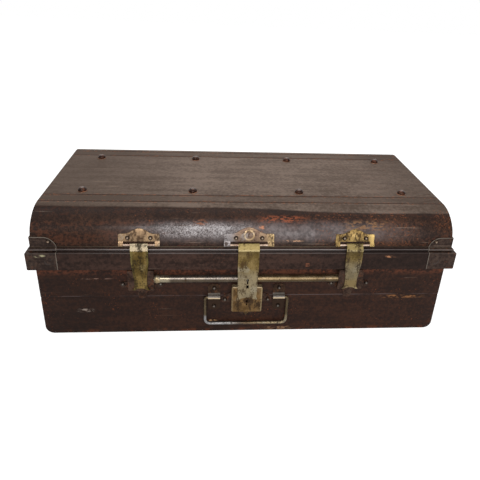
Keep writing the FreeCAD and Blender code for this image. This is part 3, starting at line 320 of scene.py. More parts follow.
# x, z, half length, half height, strength, colour
LID_SCRAPES = (
    (0.079, 0.1976, 0.022, 0.0026, 1.0, (0.420, 0.240, 0.140)),
    (0.022, 0.2203, 0.007, 0.0034, 0.9, (0.450, 0.180, 0.090)),
    (-0.116, 0.1866, 0.020, 0.0020, 0.9, (0.060, 0.006, 0.004)),
    (0.211, 0.2232, 0.055, 0.0090, 0.7, (0.230, 0.120, 0.055)),
    (0.060, 0.2310, 0.055, 0.0060, 0.7, (0.260, 0.070, 0.030)),
    (-0.085, 0.2270, 0.016, 0.0050, 0.7, (0.260, 0.095, 0.045)),
)
print(len(LID_SCRAPES), "scrapes on the lid")


# %% Lid coats
def lid_gloss(paint):
    """Enamel of the roll: mottled, redder in streaks and darkest under the shoulder."""
    mottled = step(paint.cloud * 0.40 + paint.fine * 0.32 + paint.grain * 0.28, 0.43, 0.60)
    enamel = mix(mottled, ENAMEL_DARK, ENAMEL)
    red = step(paint.streak * 0.5 + paint.fine * 0.5, 0.50, 0.62)
    enamel = mix(red * 0.45, enamel, ENAMEL_RED)
    return mix(step(paint.z, 0.2270, 0.2390) * 0.55, enamel, ENAMEL_DARK)


def lid_dust(paint):
    """Top dust: painted light in middle and back, painted shade at the ends and between seams."""
    between = step(abs(abs(paint.y) - SEAM_MIDDLE), SEAM_HALF + 0.002, SEAM_HALF - 0.002)
    # painted light: the dust is paler in the middle and towards the back
    pale = step(abs(paint.x - 0.03), 0.42, 0.06) * 0.45 + step(paint.y, -0.14, 0.02) * 0.45 + 0.1
    blotch = step(paint.cloud * 0.35 + paint.streak * 0.3 + paint.fine * 0.35, 0.40, 0.59)
    dust = mix(blotch * 0.75 + pale * 0.55 - 0.20, DARK_DUST_AND_SHADE, DUST)
    # painted shade: darker towards the ends and on the band between the seams
    far = step(abs(paint.x - 0.06), 0.12, 0.38)
    return mix((far * 0.60 + between * 0.42).under(0.9), dust, DARK_DUST_AND_SHADE)


def dusted(paint, enamel, dust):
    """Dust on the outside of the top, down to a wavy line on the shoulder."""
    deep = (abs(paint.y) - ROLL_MIDDLE[0]).over(0)
    high = paint.z - ROLL_MIDDLE[1]
    from_middle = (deep * deep + high * high).maths("SQRT")
    outside = step(from_middle, ROLL_RADIUS - 0.0007, ROLL_RADIUS - 0.0005)
    sagging = step(paint.x, -0.05, 0.20) * DUST_SAG + paint.cloud * 0.0030
    shoulder = step(paint.z + sagging, DUST_LOW, DUST_HIGH)
    return mix(shoulder * outside, enamel, dust)


def painted_lamp_highlight(paint, coat):
    """Painted highlight on the roll: a long sheen in the middle and bright speckle left of it."""
    front = paint.y < 0
    # painted highlight: a soft sheen, then bright glints, both in the base colour
    sheen = patch(paint, PAINTED_SHEEN_MIDDLE, (0.32, 0.08), (0.022, 0.005)) * front
    coat = mix(sheen * (paint.mottle * 0.45 + 0.40), coat, PAINTED_SHEEN)
    bright = patch(paint, PAINTED_GLINT_MIDDLE, (0.12, 0.02), (0.015, 0.003)) * front
    glint_speckle = step(paint.speck * 0.45 + paint.grain * 0.55, 0.42, 0.60) * bright
    return mix(glint_speckle * (paint.mottle * 0.5 + 0.5) * 0.80, coat, PAINTED_GLINT)


def lid_seams(paint, coat, flat):
    """The pressed lines: darker in each groove, and rust beside it."""
    from_seam = abs(abs(abs(paint.y) - SEAM_MIDDLE) - SEAM_HALF)
    groove = step(from_seam, 0.0026, 0.0014)
    coat = mix(groove * flat * 0.8, coat, GROOVE_DARK)
    edge = step(from_seam, 0.0050, 0.0032) - groove
    spots = step(noise(paint.place, 130, 3, 0.7), 0.50, 0.62)
    return mix(edge.over(0) * flat * spots * 0.6, coat, SEAM_RUST)


# %% Lid paint
def lid_paint():
    paint = Finish("lid_enamel", Metallic=0.0, IOR=1.2, Coat_Roughness=0.22)
    place = paint.place
    paint.cloud = noise(place, 7, 4, 0.6)
    paint.fine = noise(place, 170, 3, 0.6)
    paint.grain = noise(place, 420, 2, 0.6)
    paint.speck = noise(place, 640, 3, 0.65)
    paint.streak = noise(place, 60, 3, 0.6, (0.12, 1, 1))
    paint.mottle = step(noise(place, 40, 3) * 0.5 + paint.fine * 0.5, 0.40, 0.62)
    flat = step(paint.z, FLAT_LOW, FLAT_HIGH)
    coat = dusted(paint, lid_gloss(paint), lid_dust(paint))
    # painted highlight on the roll
    coat = painted_lamp_highlight(paint, coat)
    reach = step(paint.x, -0.10, 0.30) * 0.05
    fleck = step(noise(place, 300, 3, 0.7) + reach, 0.60, 0.70)
    fleck = fleck * step(noise(place, 14, 3) + reach, 0.50, 0.60)
    coat = mix(fleck * (1 - flat * 0.75) * (paint.speck + 0.05), coat, RUST)
    coat = lid_seams(paint, coat, flat)
    scratch = step(noise(place, 300, 2, 0.6, (0.03, 1, 1)), 0.66, 0.72)
    coat = mix(scratch * step(noise(place, 12, 2), 0.45, 0.6) * 0.4, coat, BARE)
    paint.set("Base Color", scrapes(paint, coat, LID_SCRAPES))
    paint.set("Roughness", (flat * 0.20 + 0.42 + paint.fine * 0.15).under(0.8))
    gloss = patch(paint, GLOSS_MIDDLE, (0.30, 0.05), (0.028, 0.010))
    paint.set("Coat Weight", gloss * (paint.mottle * 0.25 + 0.20))
    dents = noise(place, 7, 2)
    texture = pits(place, 330, 0.42) * 0.4 + paint.grain * 0.4 + paint.fine * 0.4
    paint.relief(texture + paint.streak * 0.3 + dents * 6, 0.0010, 0.7)
    return paint.material


lid_enamel = lid_paint()
print("lid paint made")

# %% [markdown]
# The body and the rim band keep a darker coat. Hands and floors have rubbed it in long level
# streaks, and it glows reddish where the bare primer shows: just below the rim, along the
# bottom and at the corners. One recipe serves all three: the body, the rim band, and the
# corner caps, whose edges are outlined by bare metal. Along the whole rim a few pale lines are
# painted highlights on the moulding's edges, with some rub, and one dark line is painted shade
# in its groove. They are told by their height over the parting line.

# %% Body and rim colours and places
SKIRT_DEPTH, SWAGE_SHARE = 0.034, 0.447
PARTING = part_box("lid_rim_band")[0].z + SKIRT_DEPTH
SWAGE = PARTING * SWAGE_SHARE
# half the trunk's length and depth, and then the same just inside its walls
HALF_LENGTH, HALF_DEPTH = 0.380, 0.203
WALL_X, WALL_Y = 0.36, 0.185
CAP_WING, CAP_LOBE, CAP_TOP = 0.051, 0.022, 0.027
SHADOW = (0.006, 0.002, 0.001)
PRIMER = (0.150, 0.046, 0.022)
FOOT_RUST = (0.160, 0.044, 0.014)
FLECK_RUST = (0.230, 0.062, 0.020)
RIDGE_RUB_AND_HIGHLIGHT = (0.105, 0.080, 0.078)
CAP_SHINE = (0.200, 0.170, 0.140)
# painted highlights along the moulding's edges, with some rub, and one line of painted shade in
# its groove
# height over the parting line, half width, strength, colour
RIM_LIGHT_AND_SHADE_LINES = (
    (0.0040, 0.0014, 0.90, (0.330, 0.300, 0.290)),
    (0.0019, 0.0010, 1.00, (0.003, 0.002, 0.001)),
    (0.0080, 0.0011, 0.70, (0.170, 0.138, 0.095)),
    (-0.0008, 0.0009, 0.60, (0.150, 0.130, 0.125)),
)
BODY_SCRAPES = (
    (-0.294, 0.0509, 0.018, 0.0050, 0.7, (0.300, 0.240, 0.200)),
    (0.299, 0.0759, 0.050, 0.0050, 0.8, (0.220, 0.095, 0.035)),
    (-0.065, 0.0248, 0.014, 0.0020, 1.0, (0.450, 0.260, 0.130)),
    (0.065, 0.0050, 0.034, 0.0055, 0.7, (0.240, 0.130, 0.070)),
    (-0.270, 0.1193, 0.035, 0.0014, 0.8, (0.200, 0.120, 0.090)),
)
RIM_SCRAPES = (
    (0.2585, 0.1704, 0.013, 0.0026, 1.0, (0.420, 0.190, 0.090)),
    (0.107, 0.1530, 0.005, 0.0070, 0.8, (0.200, 0.070, 0.035)),
)
CAP_SCRAPES = ((-0.356, 0.1724, 0.012, 0.0036, 0.9, (0.330, 0.300, 0.180)),)
print("lid and body part at", round(PARTING, 4), "m")


# %% Body wear
def cap_edge(paint, along, far_end):
    """Mask of a corner cap's outline on the faces along x or y: an arc and an upright."""
    across = abs(along) - (far_end - CAP_WING + CAP_LOBE)
    high = paint.z - (PARTING + CAP_TOP - CAP_LOBE)
    arc = (across * across + high.over(0) * high.over(0)).maths("SQRT")
    off = abs(arc - CAP_LOBE) + step(across, 0.0, 0.0005)
    return step(off.under(abs(high - CAP_LOBE)), 0.0014, 0.0007)


def body_rust(paint, coat):
    """Rust along the foot and at the corners, outside only, and scattered flecks."""
    place = paint.place
    outside = step((abs(paint.x) - WALL_X).over(abs(paint.y) - WALL_Y), 0.0, 0.001)
    foot = (1 - step(paint.z, 0.001, 0.010)) * step(noise(place, 60, 3), 0.50, 0.62) * outside
    corner = step(abs(paint.x), 0.354, 0.372) * step(noise(place, 90, 4, 0.7), 0.52, 0.66)
    coat = mix(foot.over(corner * 0.5) * 0.4, coat, FOOT_RUST)
    fleck = step(noise(place, 330, 2, 0.7), 0.64, 0.71) * step(noise(place, 20, 3), 0.48, 0.62)
    return mix(fleck * 0.6, coat, FLECK_RUST)


def body_scuffs(paint, coat, marks):
    """Painted highlight and rub on the swage line, thin scratches, scrapes, painted rim lines."""
    # a pale line on the swage line's upper edge: painted highlight with rub
    ridge = step(abs(paint.z - SWAGE - 0.0022), 0.0016, 0.0006) * step(paint.streak, 0.40, 0.56)
    coat = mix(ridge * 0.5, coat, RIDGE_RUB_AND_HIGHLIGHT)
    scratch = step(noise(paint.place, 260, 2, 0.6, (0.03, 0.03, 1)), 0.68, 0.74)
    coat = mix(scratch * step(noise(paint.place, 15, 2), 0.5, 0.6) * 0.22, coat, BARE)
    coat = scrapes(paint, coat, marks)
    towards_ends = step(abs(paint.x + 0.03), 0.15, 0.29)
    # the pale lines are painted highlights, the dark one painted shade, all fainter towards the
    # ends
    for height, reach, share, painted_light in RIM_LIGHT_AND_SHADE_LINES:
        line = step(abs(paint.z - PARTING - height), reach, reach * 0.4)
        line = line * (paint.streak * 0.8 + 0.25) * (1 - towards_ends * 0.65)
        coat = mix(line * share, coat, painted_light)
    return coat


# %% Body, rim and cap paint
def body_paint(name, light, dark, rough, rub=None, shades=(0.0, 0.0), marks=(), capped=False):
    """Enamel; rub is (height, reach) of a band worn to the primer, shades darken the ends."""
    paint = Finish(name, Metallic=0.0, IOR=1.2)
    place = paint.place
    paint.streak = noise(place, 60, 4, 0.65, (0.14, 0.14, 1))
    fine = noise(place, 190, 3, 0.6)
    grain = noise(place, 420, 2, 0.6)
    cloudy = noise(place, 11, 4) * 0.2 + paint.streak * 0.35 + fine * 0.45
    coat = mix(step(cloudy, 0.40, 0.62), dark, light)
    left = step(paint.x, -0.08, -0.36) * shades[0]
    right = step(paint.x, 0.02, 0.30) * shades[1]
    coat = mix(left + right, coat, SHADOW)
    if rub:
        near = 1 - step(abs(paint.z - rub[0]), 0.0, rub[1])
        worn = step(noise(place, 70, 4, 0.7, (0.3, 0.3, 1)) * 0.6 + fine * 0.4, 0.42, 0.58)
        coat = mix(near * worn * 0.52, coat, PRIMER)
    coat = body_scuffs(paint, body_rust(paint, coat), marks)
    if capped:
        edge = cap_edge(paint, paint.x, HALF_LENGTH).over(cap_edge(paint, paint.y, HALF_DEPTH))
        coat = mix(edge * (paint.streak * 0.8 + 0.2), coat, CAP_SHINE)
    paint.set("Base Color", coat)
    paint.set("Roughness", (fine * 0.18 + paint.streak * 0.12 + rough).under(0.8))
    dents = noise(place, 8, 2)
    texture = pits(place, 300, 0.4) * 0.3 + fine * 0.4 + grain * 0.3
    paint.relief(texture + dents * 5, 0.0009, 0.6)
    return paint.material


body_enamel = body_paint(
    "body_enamel", (0.034, 0.013, 0.007), (0.013, 0.005, 0.003), 0.34,
    rub=(0.1370, 0.0140), shades=(0.40, 0.0), marks=BODY_SCRAPES)
rim_enamel = body_paint(
    "rim_enamel", (0.042, 0.021, 0.015), (0.012, 0.005, 0.003), 0.28,
    shades=(0.25, 0.62), marks=RIM_SCRAPES)
cap_enamel = body_paint(
    "cap_enamel", (0.052, 0.032, 0.023), (0.014, 0.007, 0.005), 0.26,
    marks=CAP_SCRAPES, capped=True)
print("body, rim and cap paint made")

# %% [markdown]
# The hasps were brass plated. Most of the plating has gone dull: khaki brass under a grey
# bloom, brown stains and dark edges. A metal is only as good as the way its roughness changes,
# so stains also turn it less metallic and rougher. No two fittings have aged alike, so each
# gets its own colours, with bands and spots where hands left a mark. Other bands and spots are
# painted light: a highlight on each strap's bend with shade below it, a highlight on the lock
# box's top edge, and shade on the lower half of the bar and in the keyhole.


# %% Brass
def brass(name, bright, dull, stain, bloom, bloom_share, stain_share,
          rough=0.34, zones=(), dent=0.0004, spots=()):
    """Four colours, then how much of the surface the bloom and the stains take.

    Zones are bands (axis, gone, whole, strength, colour) that fade in along an axis.
    Spots are round: (x, z, radius, strength, colour).
    """
    metal = Finish(name, IOR=1.2)
    place = metal.place
    cloud = noise(place, 45, 4)
    fine = noise(place, 320, 3, 0.6)
    blots = noise(place, 95, 4, 0.65, (1, 1, 0.35), (3, 1, 2))
    coat = mix(step(cloud * 0.6 + fine * 0.4, 0.40, 0.60), dull, bright)
    bare_share = 0.62 - bloom_share * 0.3
    grey = step(noise(place, 36, 4, 0.6, shift=(7, 2, 5)), bare_share, bare_share + 0.12)
    coat = mix(grey * 0.8, coat, bloom)
    uneven = (blots * 0.6 + fine * 0.6 + 0.15).under(1.0)
    for axis, gone, whole, strength, color in zones:
        coat = mix(step(metal.axes[axis], gone, whole) * uneven * strength, coat, color)
    for x, z, radius, strength, color in spots:
        across, high = metal.x - x, metal.z - z
        away = (across * across + high * high).maths("SQRT")
        coat = mix(step(away, radius, radius * 0.6) * strength, coat, color)
    clean_share = 0.66 - stain_share * 0.3
    dirty = step(blots * 0.6 + fine * 0.4, clean_share, clean_share + 0.10)
    metal.set("Base Color", mix(dirty * 0.85, coat, stain))
    metal.set("Metallic", 0.85 - dirty * 0.5)
    metal.set("Roughness", dirty * 0.22 + grey * 0.08 + fine * 0.14 + rough)
    brushed = noise(place, 500, 2, 0.6, (0.1, 0.1, 1))
    metal.relief(fine * 0.6 + brushed * 0.3 + blots * 1.2, dent, 0.7)
    return metal.material


# %% Brass of the plates
LEFT_PLATE = brass(
    "left_plate_brass", (0.330, 0.222, 0.125), (0.175, 0.112, 0.066),
    (0.040, 0.021, 0.011), (0.280, 0.225, 0.170), 0.20, 0.60,
    zones=((AXIS_X, -0.160, -0.154, 0.6, (0.360, 0.290, 0.200)),))
RIGHT_PLATE = brass(
    "right_plate_brass", (0.380, 0.260, 0.100), (0.210, 0.136, 0.050),
    (0.032, 0.017, 0.008), (0.340, 0.260, 0.125), 0.20, 0.62,
    zones=((AXIS_X, 0.214, 0.223, 0.9, (0.600, 0.420, 0.160)),))
CENTER_PLATE = brass(
    "center_plate_brass", (0.215, 0.145, 0.092), (0.125, 0.080, 0.058),
    (0.045, 0.025, 0.016), (0.215, 0.185, 0.170), 0.25, 0.56,
    zones=((AXIS_X, -0.018, -0.034, 0.95, (0.235, 0.228, 0.238)),
           (AXIS_X, 0.026, 0.042, 0.9, (0.470, 0.335, 0.160))))
RING_BRASS = brass(
    "ring_brass", (0.430, 0.305, 0.180), (0.270, 0.185, 0.105),
    (0.100, 0.058, 0.032), (0.380, 0.310, 0.230), 0.2, 0.50)
print("brass of three plates and the ring made")

# %% Brass of the straps
BEND = PARTING + 0.0050
BEND_SHADE, EDGE_HIGHLIGHT = (0.050, 0.034, 0.012), (0.620, 0.480, 0.300)
# at each strap's bend: painted shade below it, a painted highlight on it, khaki above
STRAP_ZONES = (
    (AXIS_Z, BEND - 0.0120, BEND - 0.0030, 0.75, BEND_SHADE),
    (AXIS_Z, BEND - 0.0016, BEND + 0.0002, 0.90, (0.300, 0.240, 0.120)),
    (AXIS_Z, BEND + 0.0016, BEND + 0.0030, 0.85, (0.160, 0.115, 0.038)),
)
CENTER_BRASS = brass(
    "center_brass", (0.215, 0.152, 0.062), (0.100, 0.066, 0.020),
    (0.050, 0.028, 0.010), (0.250, 0.215, 0.145), 0.30, 0.55,
    zones=((AXIS_Z, 0.150, 0.128, 0.75, (0.250, 0.215, 0.150)),) + STRAP_ZONES)
LEFT_BRASS = brass(
    "left_brass", (0.190, 0.130, 0.044), (0.082, 0.053, 0.015),
    (0.018, 0.012, 0.004), (0.185, 0.140, 0.062), 0.2, 0.58,
    zones=((AXIS_X, -0.180, -0.1765, 0.60, (0.020, 0.026, 0.008)),
           (AXIS_X, -0.1765, -0.1745, 0.9, (0.150, 0.140, 0.040)),
           (AXIS_X, -0.198, -0.2010, 0.50, (0.030, 0.030, 0.010)),
           (AXIS_X, -0.2015, -0.2030, 0.8, (0.150, 0.120, 0.040)),
           # painted highlight on the bend
           (AXIS_Z, BEND - 0.0010, BEND + 0.0010, 0.95, (0.300, 0.250, 0.180))))
RIGHT_BRASS = brass(
    "right_brass", (0.180, 0.130, 0.054), (0.080, 0.054, 0.018),
    (0.028, 0.016, 0.008), (0.200, 0.172, 0.115), 0.40, 0.54,
    zones=((AXIS_Z, 0.166, 0.152, 0.6, (0.200, 0.172, 0.120)),
           (AXIS_Z, 0.128, 0.118, 0.8, (0.160, 0.108, 0.038)),
           (AXIS_Z, 0.1090, 0.1035, 0.9, (0.360, 0.285, 0.160))) + STRAP_ZONES)
print("brass of three straps made")

# %% Brass of the lock, the bar and the handles
BOX_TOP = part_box("lock_box")[1].z
BAR_HEIGHT = sum(corner.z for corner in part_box("bar_casing")) / 2
BOX_BRASS = brass(
    "box_brass", (0.155, 0.092, 0.038), (0.075, 0.042, 0.016),
    (0.022, 0.012, 0.006), (0.165, 0.112, 0.060), 0.2, 0.54,
    # painted highlight along the box's top edge
    zones=((AXIS_Z, BOX_TOP - 0.0024, BOX_TOP - 0.0010, 1.0, EDGE_HIGHLIGHT),
           (AXIS_X, 0.0245, 0.0262, 0.8, (0.300, 0.230, 0.130)),
           (AXIS_X, -0.0245, -0.0262, 0.6, (0.240, 0.180, 0.100))),
    # a dark disc inside the keyhole rim: painted shade standing for the keyhole
    spots=((0, BOX_TOP - 0.0305, 0.0080, 0.75, (0.030, 0.015, 0.008)),))
BAR_BRASS = brass(
    "bar_brass", (0.250, 0.180, 0.100), (0.140, 0.096, 0.048),
    (0.050, 0.030, 0.016), (0.200, 0.175, 0.150), 0.20, 0.40, 0.22,
    zones=((AXIS_X, 0.02, -0.02, 0.90, (0.120, 0.112, 0.112)),
           # painted shade: the lower half of the bar is darker
           (AXIS_Z, BAR_HEIGHT + 0.0026, BAR_HEIGHT + 0.0010, 1.0, (0.040, 0.026, 0.012)),
           (AXIS_X, -0.136, -0.144, 0.9, (0.300, 0.260, 0.180))), dent=0.0001)
COLLAR_BRASS = brass(
    "collar_brass", (0.420, 0.350, 0.230), (0.240, 0.180, 0.100),
    (0.070, 0.048, 0.026), (0.480, 0.440, 0.370), 0.4, 0.30, 0.24)
WIRE_BRASS = brass(
    "wire_brass", (0.130, 0.090, 0.050), (0.050, 0.033, 0.021),
    (0.016, 0.011, 0.008), (0.200, 0.180, 0.155), 0.30, 0.45, 0.24,
    zones=((AXIS_X, 0.0, -0.05, 0.8, (0.300, 0.305, 0.320)),
           (AXIS_X, 0.0, 0.05, 0.7, (0.260, 0.205, 0.120)),
           (AXIS_Z, 0.036, 0.044, 1.35, (0.075, 0.054, 0.029))))
print("brass of the box, the bar, the collar and the wires made")

# %% [markdown]
# Rivets, studs, clips and back plates are iron under the remains of the same paint. Their
# crowns carry a painted highlight. Height can't tell a crown, because heads face every way, so
# each head carries its own measure of how far a point stands out from its seat.


# %% Iron
def iron(name, base, dark, rust, rough, metallic, crown=(0.3, 0.24, 0.18), zones=()):
    """Iron with painted crown highlights; attribute crown runs from 0 at a head's seat to 1 on
    top.
    """
    metal = Finish(name, IOR=1.2)
    place = metal.place
    cloud = noise(place, 90, 4)
    fine = noise(place, 420, 3, 0.6)
    coat = mix(step(cloud * 0.6 + fine * 0.4, 0.4, 0.62), dark, base)
    red = step(noise(place, 130, 4, 0.7, shift=(4, 4, 1)), 0.52, 0.64)
    coat = mix(red * 0.7, coat, rust)
    for axis, gone, whole, strength, color in zones:
        coat = mix(step(metal.axes[axis], gone, whole) * strength, coat, color)
    raised = place.node("ShaderNodeAttribute", {"attribute_name": "crown"}, None, "Fac")
    # the crown colour is a painted highlight on rivets and studs; on the stud dishes it is darker
    painted_light = step(raised, 0.60, 0.90)
    metal.set("Base Color", mix(painted_light * (0.55 + fine * 0.7).under(1.0), coat, crown))
    metal.set("Metallic", metallic - red * metallic * 0.6)
    metal.set("Roughness", red * 0.2 + fine * 0.15 + rough - painted_light * 0.08)
    metal.relief(fine * 0.5 + cloud * 0.5, 0.0004, 0.5)
    return metal.material


def clip_zones(axle):
    """The hump over the wire is worn silvery, with a painted highlight along its lower edge."""
    return ((AXIS_Z, axle + 0.0095, axle + 0.0070, 0.9, (0.150, 0.132, 0.115)),
            # painted highlight along the hump's lower edge
            (AXIS_Z, axle + 0.0026, axle + 0.0018, 0.8, EDGE_HIGHLIGHT),
            (AXIS_Z, axle + 0.0008, axle - 0.0004, 1.0, (0.026, 0.014, 0.008)))


HEAD_IRON = iron(
    "head_iron", (0.040, 0.028, 0.020), (0.010, 0.006, 0.004), (0.070, 0.028, 0.012),
    0.24, 0.75, (0.60, 0.46, 0.34))
DULL_HEAD = iron(
    "dull_head_iron", (0.030, 0.020, 0.015), (0.009, 0.005, 0.004), (0.060, 0.022, 0.010),
    0.28, 0.6, (0.32, 0.29, 0.25))
STUD_IRON = iron(
    "stud_iron", (0.034, 0.018, 0.013), (0.014, 0.007, 0.005), (0.100, 0.034, 0.016),
    0.20, 0.6, (0.22, 0.17, 0.15))
DISH_IRON = iron(
    "dish_iron", (0.260, 0.120, 0.070), (0.090, 0.042, 0.026), (0.300, 0.115, 0.055),
    0.26, 0.6, (0.10, 0.04, 0.02))
PLATE_IRON = iron(
    "plate_iron", (0.056, 0.032, 0.022), (0.018, 0.009, 0.006), (0.085, 0.030, 0.013),
    0.34, 0.35)
LOCK_STEEL = iron(
    "lock_steel", (0.30, 0.28, 0.25), (0.16, 0.145, 0.13), (0.15, 0.09, 0.05), 0.30, 0.9)
PIN_STEEL = iron(
    "pin_steel", (0.50, 0.38, 0.30), (0.26, 0.18, 0.13), (0.20, 0.09, 0.05), 0.28, 0.8)
CLIP_IRON = {}
for side in ("front", "left", "right"):
    low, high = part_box(f"{side}_handle_clips")
    CLIP_IRON[side] = iron(
        f"{side}_clip_iron", (0.046, 0.025, 0.014), (0.014, 0.007, 0.004),
        (0.080, 0.030, 0.012), 0.28, 0.5, zones=clip_zones((low.z + high.z) / 2))
print("ten kinds of iron made")

# %% [markdown]
# The solids whose form is right keep their own mesh and only get a finish. Pieces whose names
# start alike wear alike, so one short table of beginnings dresses them all. The first match
# counts, which is why lock_box and lock_base stand before lock_b, the bolt and the bars.

# %% Dress the solids
WEARS = {
    "lid_top_sheet": lid_enamel, "lid_end_left": lid_enamel, "lid_end_right": lid_enamel,
    "body_": body_enamel, "lid_rim_band": rim_enamel, "corner_cap": cap_enamel,
    "hasp_plate_center": CENTER_PLATE, "hasp_plate_left": LEFT_PLATE,
    "hasp_plate_right": RIGHT_PLATE, "hasp_pin": PIN_STEEL,
    "hasp_strap_center": CENTER_BRASS, "hasp_strap_left": LEFT_BRASS,
    "hasp_strap_right": RIGHT_BRASS, "lock_box": BOX_BRASS, "lock_base": PLATE_IRON,
    "bar_casing": BAR_BRASS, "catch_": PLATE_IRON, "lock_b": LOCK_STEEL,
    "hinge_": PLATE_IRON, "front_handle_clip": CLIP_IRON["front"],
    "left_handle_clip": CLIP_IRON["left"], "right_handle_clip": CLIP_IRON["right"],
    "key_gear": LOCK_STEEL,
}
plain = []
for name, item in nodes.items():
    for start, finish in WEARS.items():
        if name.startswith(start):
            item.data.materials.clear()
            item.data.materials.append(finish)
            break
    else:
        plain.append(name)
print("not dressed yet:", plain)

# %% [markdown]
# Forty rivets and eight studs are the same form over and over, so Geometry Nodes place one
# head on many points. The head is a ball whose lower half is pressed flat: that keeps the mesh
# closed. Each point carries the way its head faces.


# %% A tree that places heads
def input_socket(tree, name, kind, value=None):
    socket = tree.interface.new_socket(name, in_out="INPUT", socket_type=kind)
    if value is not None:
        socket.default_value = value
    return socket.identifier


def add(tree, kind, settings=None, inputs=None):
    node = tree.nodes.new(kind)
    for name, setting in (settings or {}).items():
        setattr(node, name, setting)
    for name, value in (inputs or {}).items():
        if isinstance(value, bpy.types.NodeSocket):
            tree.links.new(value, node.inputs[name])
        else:
            node.inputs[name].default_value = value
    return node


def head_tree():
    tree = bpy.data.node_groups.new("heads", "GeometryNodeTree")
    keys = {
        "Points": input_socket(tree, "Points", "NodeSocketGeometry"),
        "Radius": input_socket(tree, "Radius", "NodeSocketFloat", 0.004),
        "Rise": input_socket(tree, "Rise", "NodeSocketFloat", 0.003),
        "Finish": input_socket(tree, "Finish", "NodeSocketMaterial"),
    }
    tree.interface.new_socket("Heads", in_out="OUTPUT", socket_type="NodeSocketGeometry")
    start = tree.nodes.new("NodeGroupInput").outputs
    ball = add(tree, "GeometryNodeMeshUVSphere", None,
               {"Segments": 20, "Rings": 14, "Radius": start["Radius"]})
    place = add(tree, "GeometryNodeInputPosition")
    split = add(tree, "ShaderNodeSeparateXYZ", None, {0: place.outputs[0]})
    upper = add(tree, "ShaderNodeMath", {"operation": "MAXIMUM"}, {0: split.outputs[2], 1: 0.0})
    share = add(tree, "ShaderNodeMath", {"operation": "DIVIDE"},
                {0: start["Rise"], 1: start["Radius"]})
    tall = add(tree, "ShaderNodeMath", {"operation": "MULTIPLY"},
               {0: upper.outputs[0], 1: share.outputs[0]})
    merged = add(tree, "ShaderNodeCombineXYZ", None,
                 {0: split.outputs[0], 1: split.outputs[1], 2: tall.outputs[0]})
    dome = add(tree, "GeometryNodeSetPosition", None,
               {"Geometry": ball.outputs[0], "Position": merged.outputs[0]})
    height = add(tree, "ShaderNodeMath", {"operation": "DIVIDE"},
                 {0: upper.outputs[0], 1: start["Radius"]})
    crowned = add(tree, "GeometryNodeStoreNamedAttribute",
                  {"data_type": "FLOAT", "domain": "POINT"},
                  {"Geometry": dome.outputs[0], "Name": "crown", "Value": height.outputs[0]})
    smooth = add(tree, "GeometryNodeSetShadeSmooth", None, {"Geometry": crowned.outputs[0]})
    facing = add(tree, "GeometryNodeInputNamedAttribute", {"data_type": "FLOAT_VECTOR"},
                 {"Name": "facing"})
    turn = add(tree, "FunctionNodeAlignRotationToVector", {"axis": "Z"},
               {"Vector": facing.outputs[0]})
    placed = add(tree, "GeometryNodeInstanceOnPoints", None,
                 {"Points": start["Points"], "Instance": smooth.outputs[0],
                  "Rotation": turn.outputs[0]})
    real = add(tree, "GeometryNodeRealizeInstances", None, {0: placed.outputs[0]})
    painted = add(tree, "GeometryNodeSetMaterial", None,
                  {"Geometry": real.outputs[0], "Material": start["Finish"]})
    add(tree, "NodeGroupOutput", None, {0: painted.outputs[0]})
    return tree, keys


HEADS, HEAD_KEYS = head_tree()
print("head tree has", len(HEADS.nodes), "nodes")

# %% [markdown]
# A tree makes nothing until an object carries it. The object is only a carrier here: the
# finished shape is read out as a plain mesh, which stands at the origin with nothing left to
# evaluate, and the carrier is thrown away.


# %% Grow a tree into a plain mesh
def grow(name, source, tree, keys, values):
    """A plain mesh object from a source object and a tree, with the tree's inputs set."""
    scene.collection.objects.link(source)
    modifier = source.modifiers.new("grow", "NODES")
    modifier.node_group = tree
    for key, value in values.items():
        modifier[keys[key]] = value
    evaluated = source.evaluated_get(bpy.context.evaluated_depsgraph_get())
    mesh = bpy.data.meshes.new_from_object(evaluated)
    mesh.name = name
    piece = bpy.data.objects.new(name, mesh)
    scene.collection.objects.link(piece)
    bpy.data.objects.remove(source)
    if not mesh.materials:
        mesh.materials.append(values["Finish"])
    print(name, len(mesh.polygons), "faces")
    return piece


def seats(spots):
    """An object with one loose point for each (place, facing)."""
    mesh = bpy.data.meshes.new("seats")
    mesh.from_pydata([spot for spot, _ in spots], [], [])
    facing = mesh.attributes.new("facing", "FLOAT_VECTOR", "POINT")
    facing.data.foreach_set("vector", [c for _, way in spots for c in way])
    return bpy.data.objects.new("seats", mesh)


# %% [markdown]
# Where do the heads sit? The solids already say it: each rivet solid is a small closed lump
# in one node. Splitting that node's mesh into its lumps gives every seat and the way it faces,
# so the points need no second list of places.


# %% Find the seats in the solids
NEARLY = 0.99


def lumps(node):
    """The corner points of each separate solid in a node."""
    mesh = nodes[node].data
    keyed = {}
    owner = []
    for vertex in mesh.vertices:
        key = tuple(round(c, 6) for c in vertex.co)
        owner.append(keyed.setdefault(key, len(keyed)))
    parent = list(range(len(keyed)))

    def find(index):
        while parent[index] != index:
            parent[index] = parent[parent[index]]
            index = parent[index]
        return index

    for polygon in mesh.polygons:
        first, *others = [owner[v] for v in polygon.vertices]
        for other in others:
            parent[find(other)] = find(first)
    places = {index: Vector(key) for key, index in keyed.items()}
    found = {}
    for index, place in places.items():
        found.setdefault(find(index), []).append(place)
    return list(found.values())


def seat_of(points):
    """Middle of a head's seat ring and the way it faces: the ring is its widest row."""
    middle = sum(points, Vector()) / len(points)
    widest = max((a - b).length for a in points for b in points)
    ring = [p for p in points if max((p - q).length for q in points) > widest * NEARLY]
    seat = sum(ring, Vector()) / len(ring)
    return seat, (middle - seat).normalized()


seat_lists = {}
for node in ("body_rivets", "lid_rivets", "lid_studs"):
    seat_lists[node] = [seat_of(lump) for lump in lumps(node)]
print({node: len(found) for node, found in seat_lists.items()})

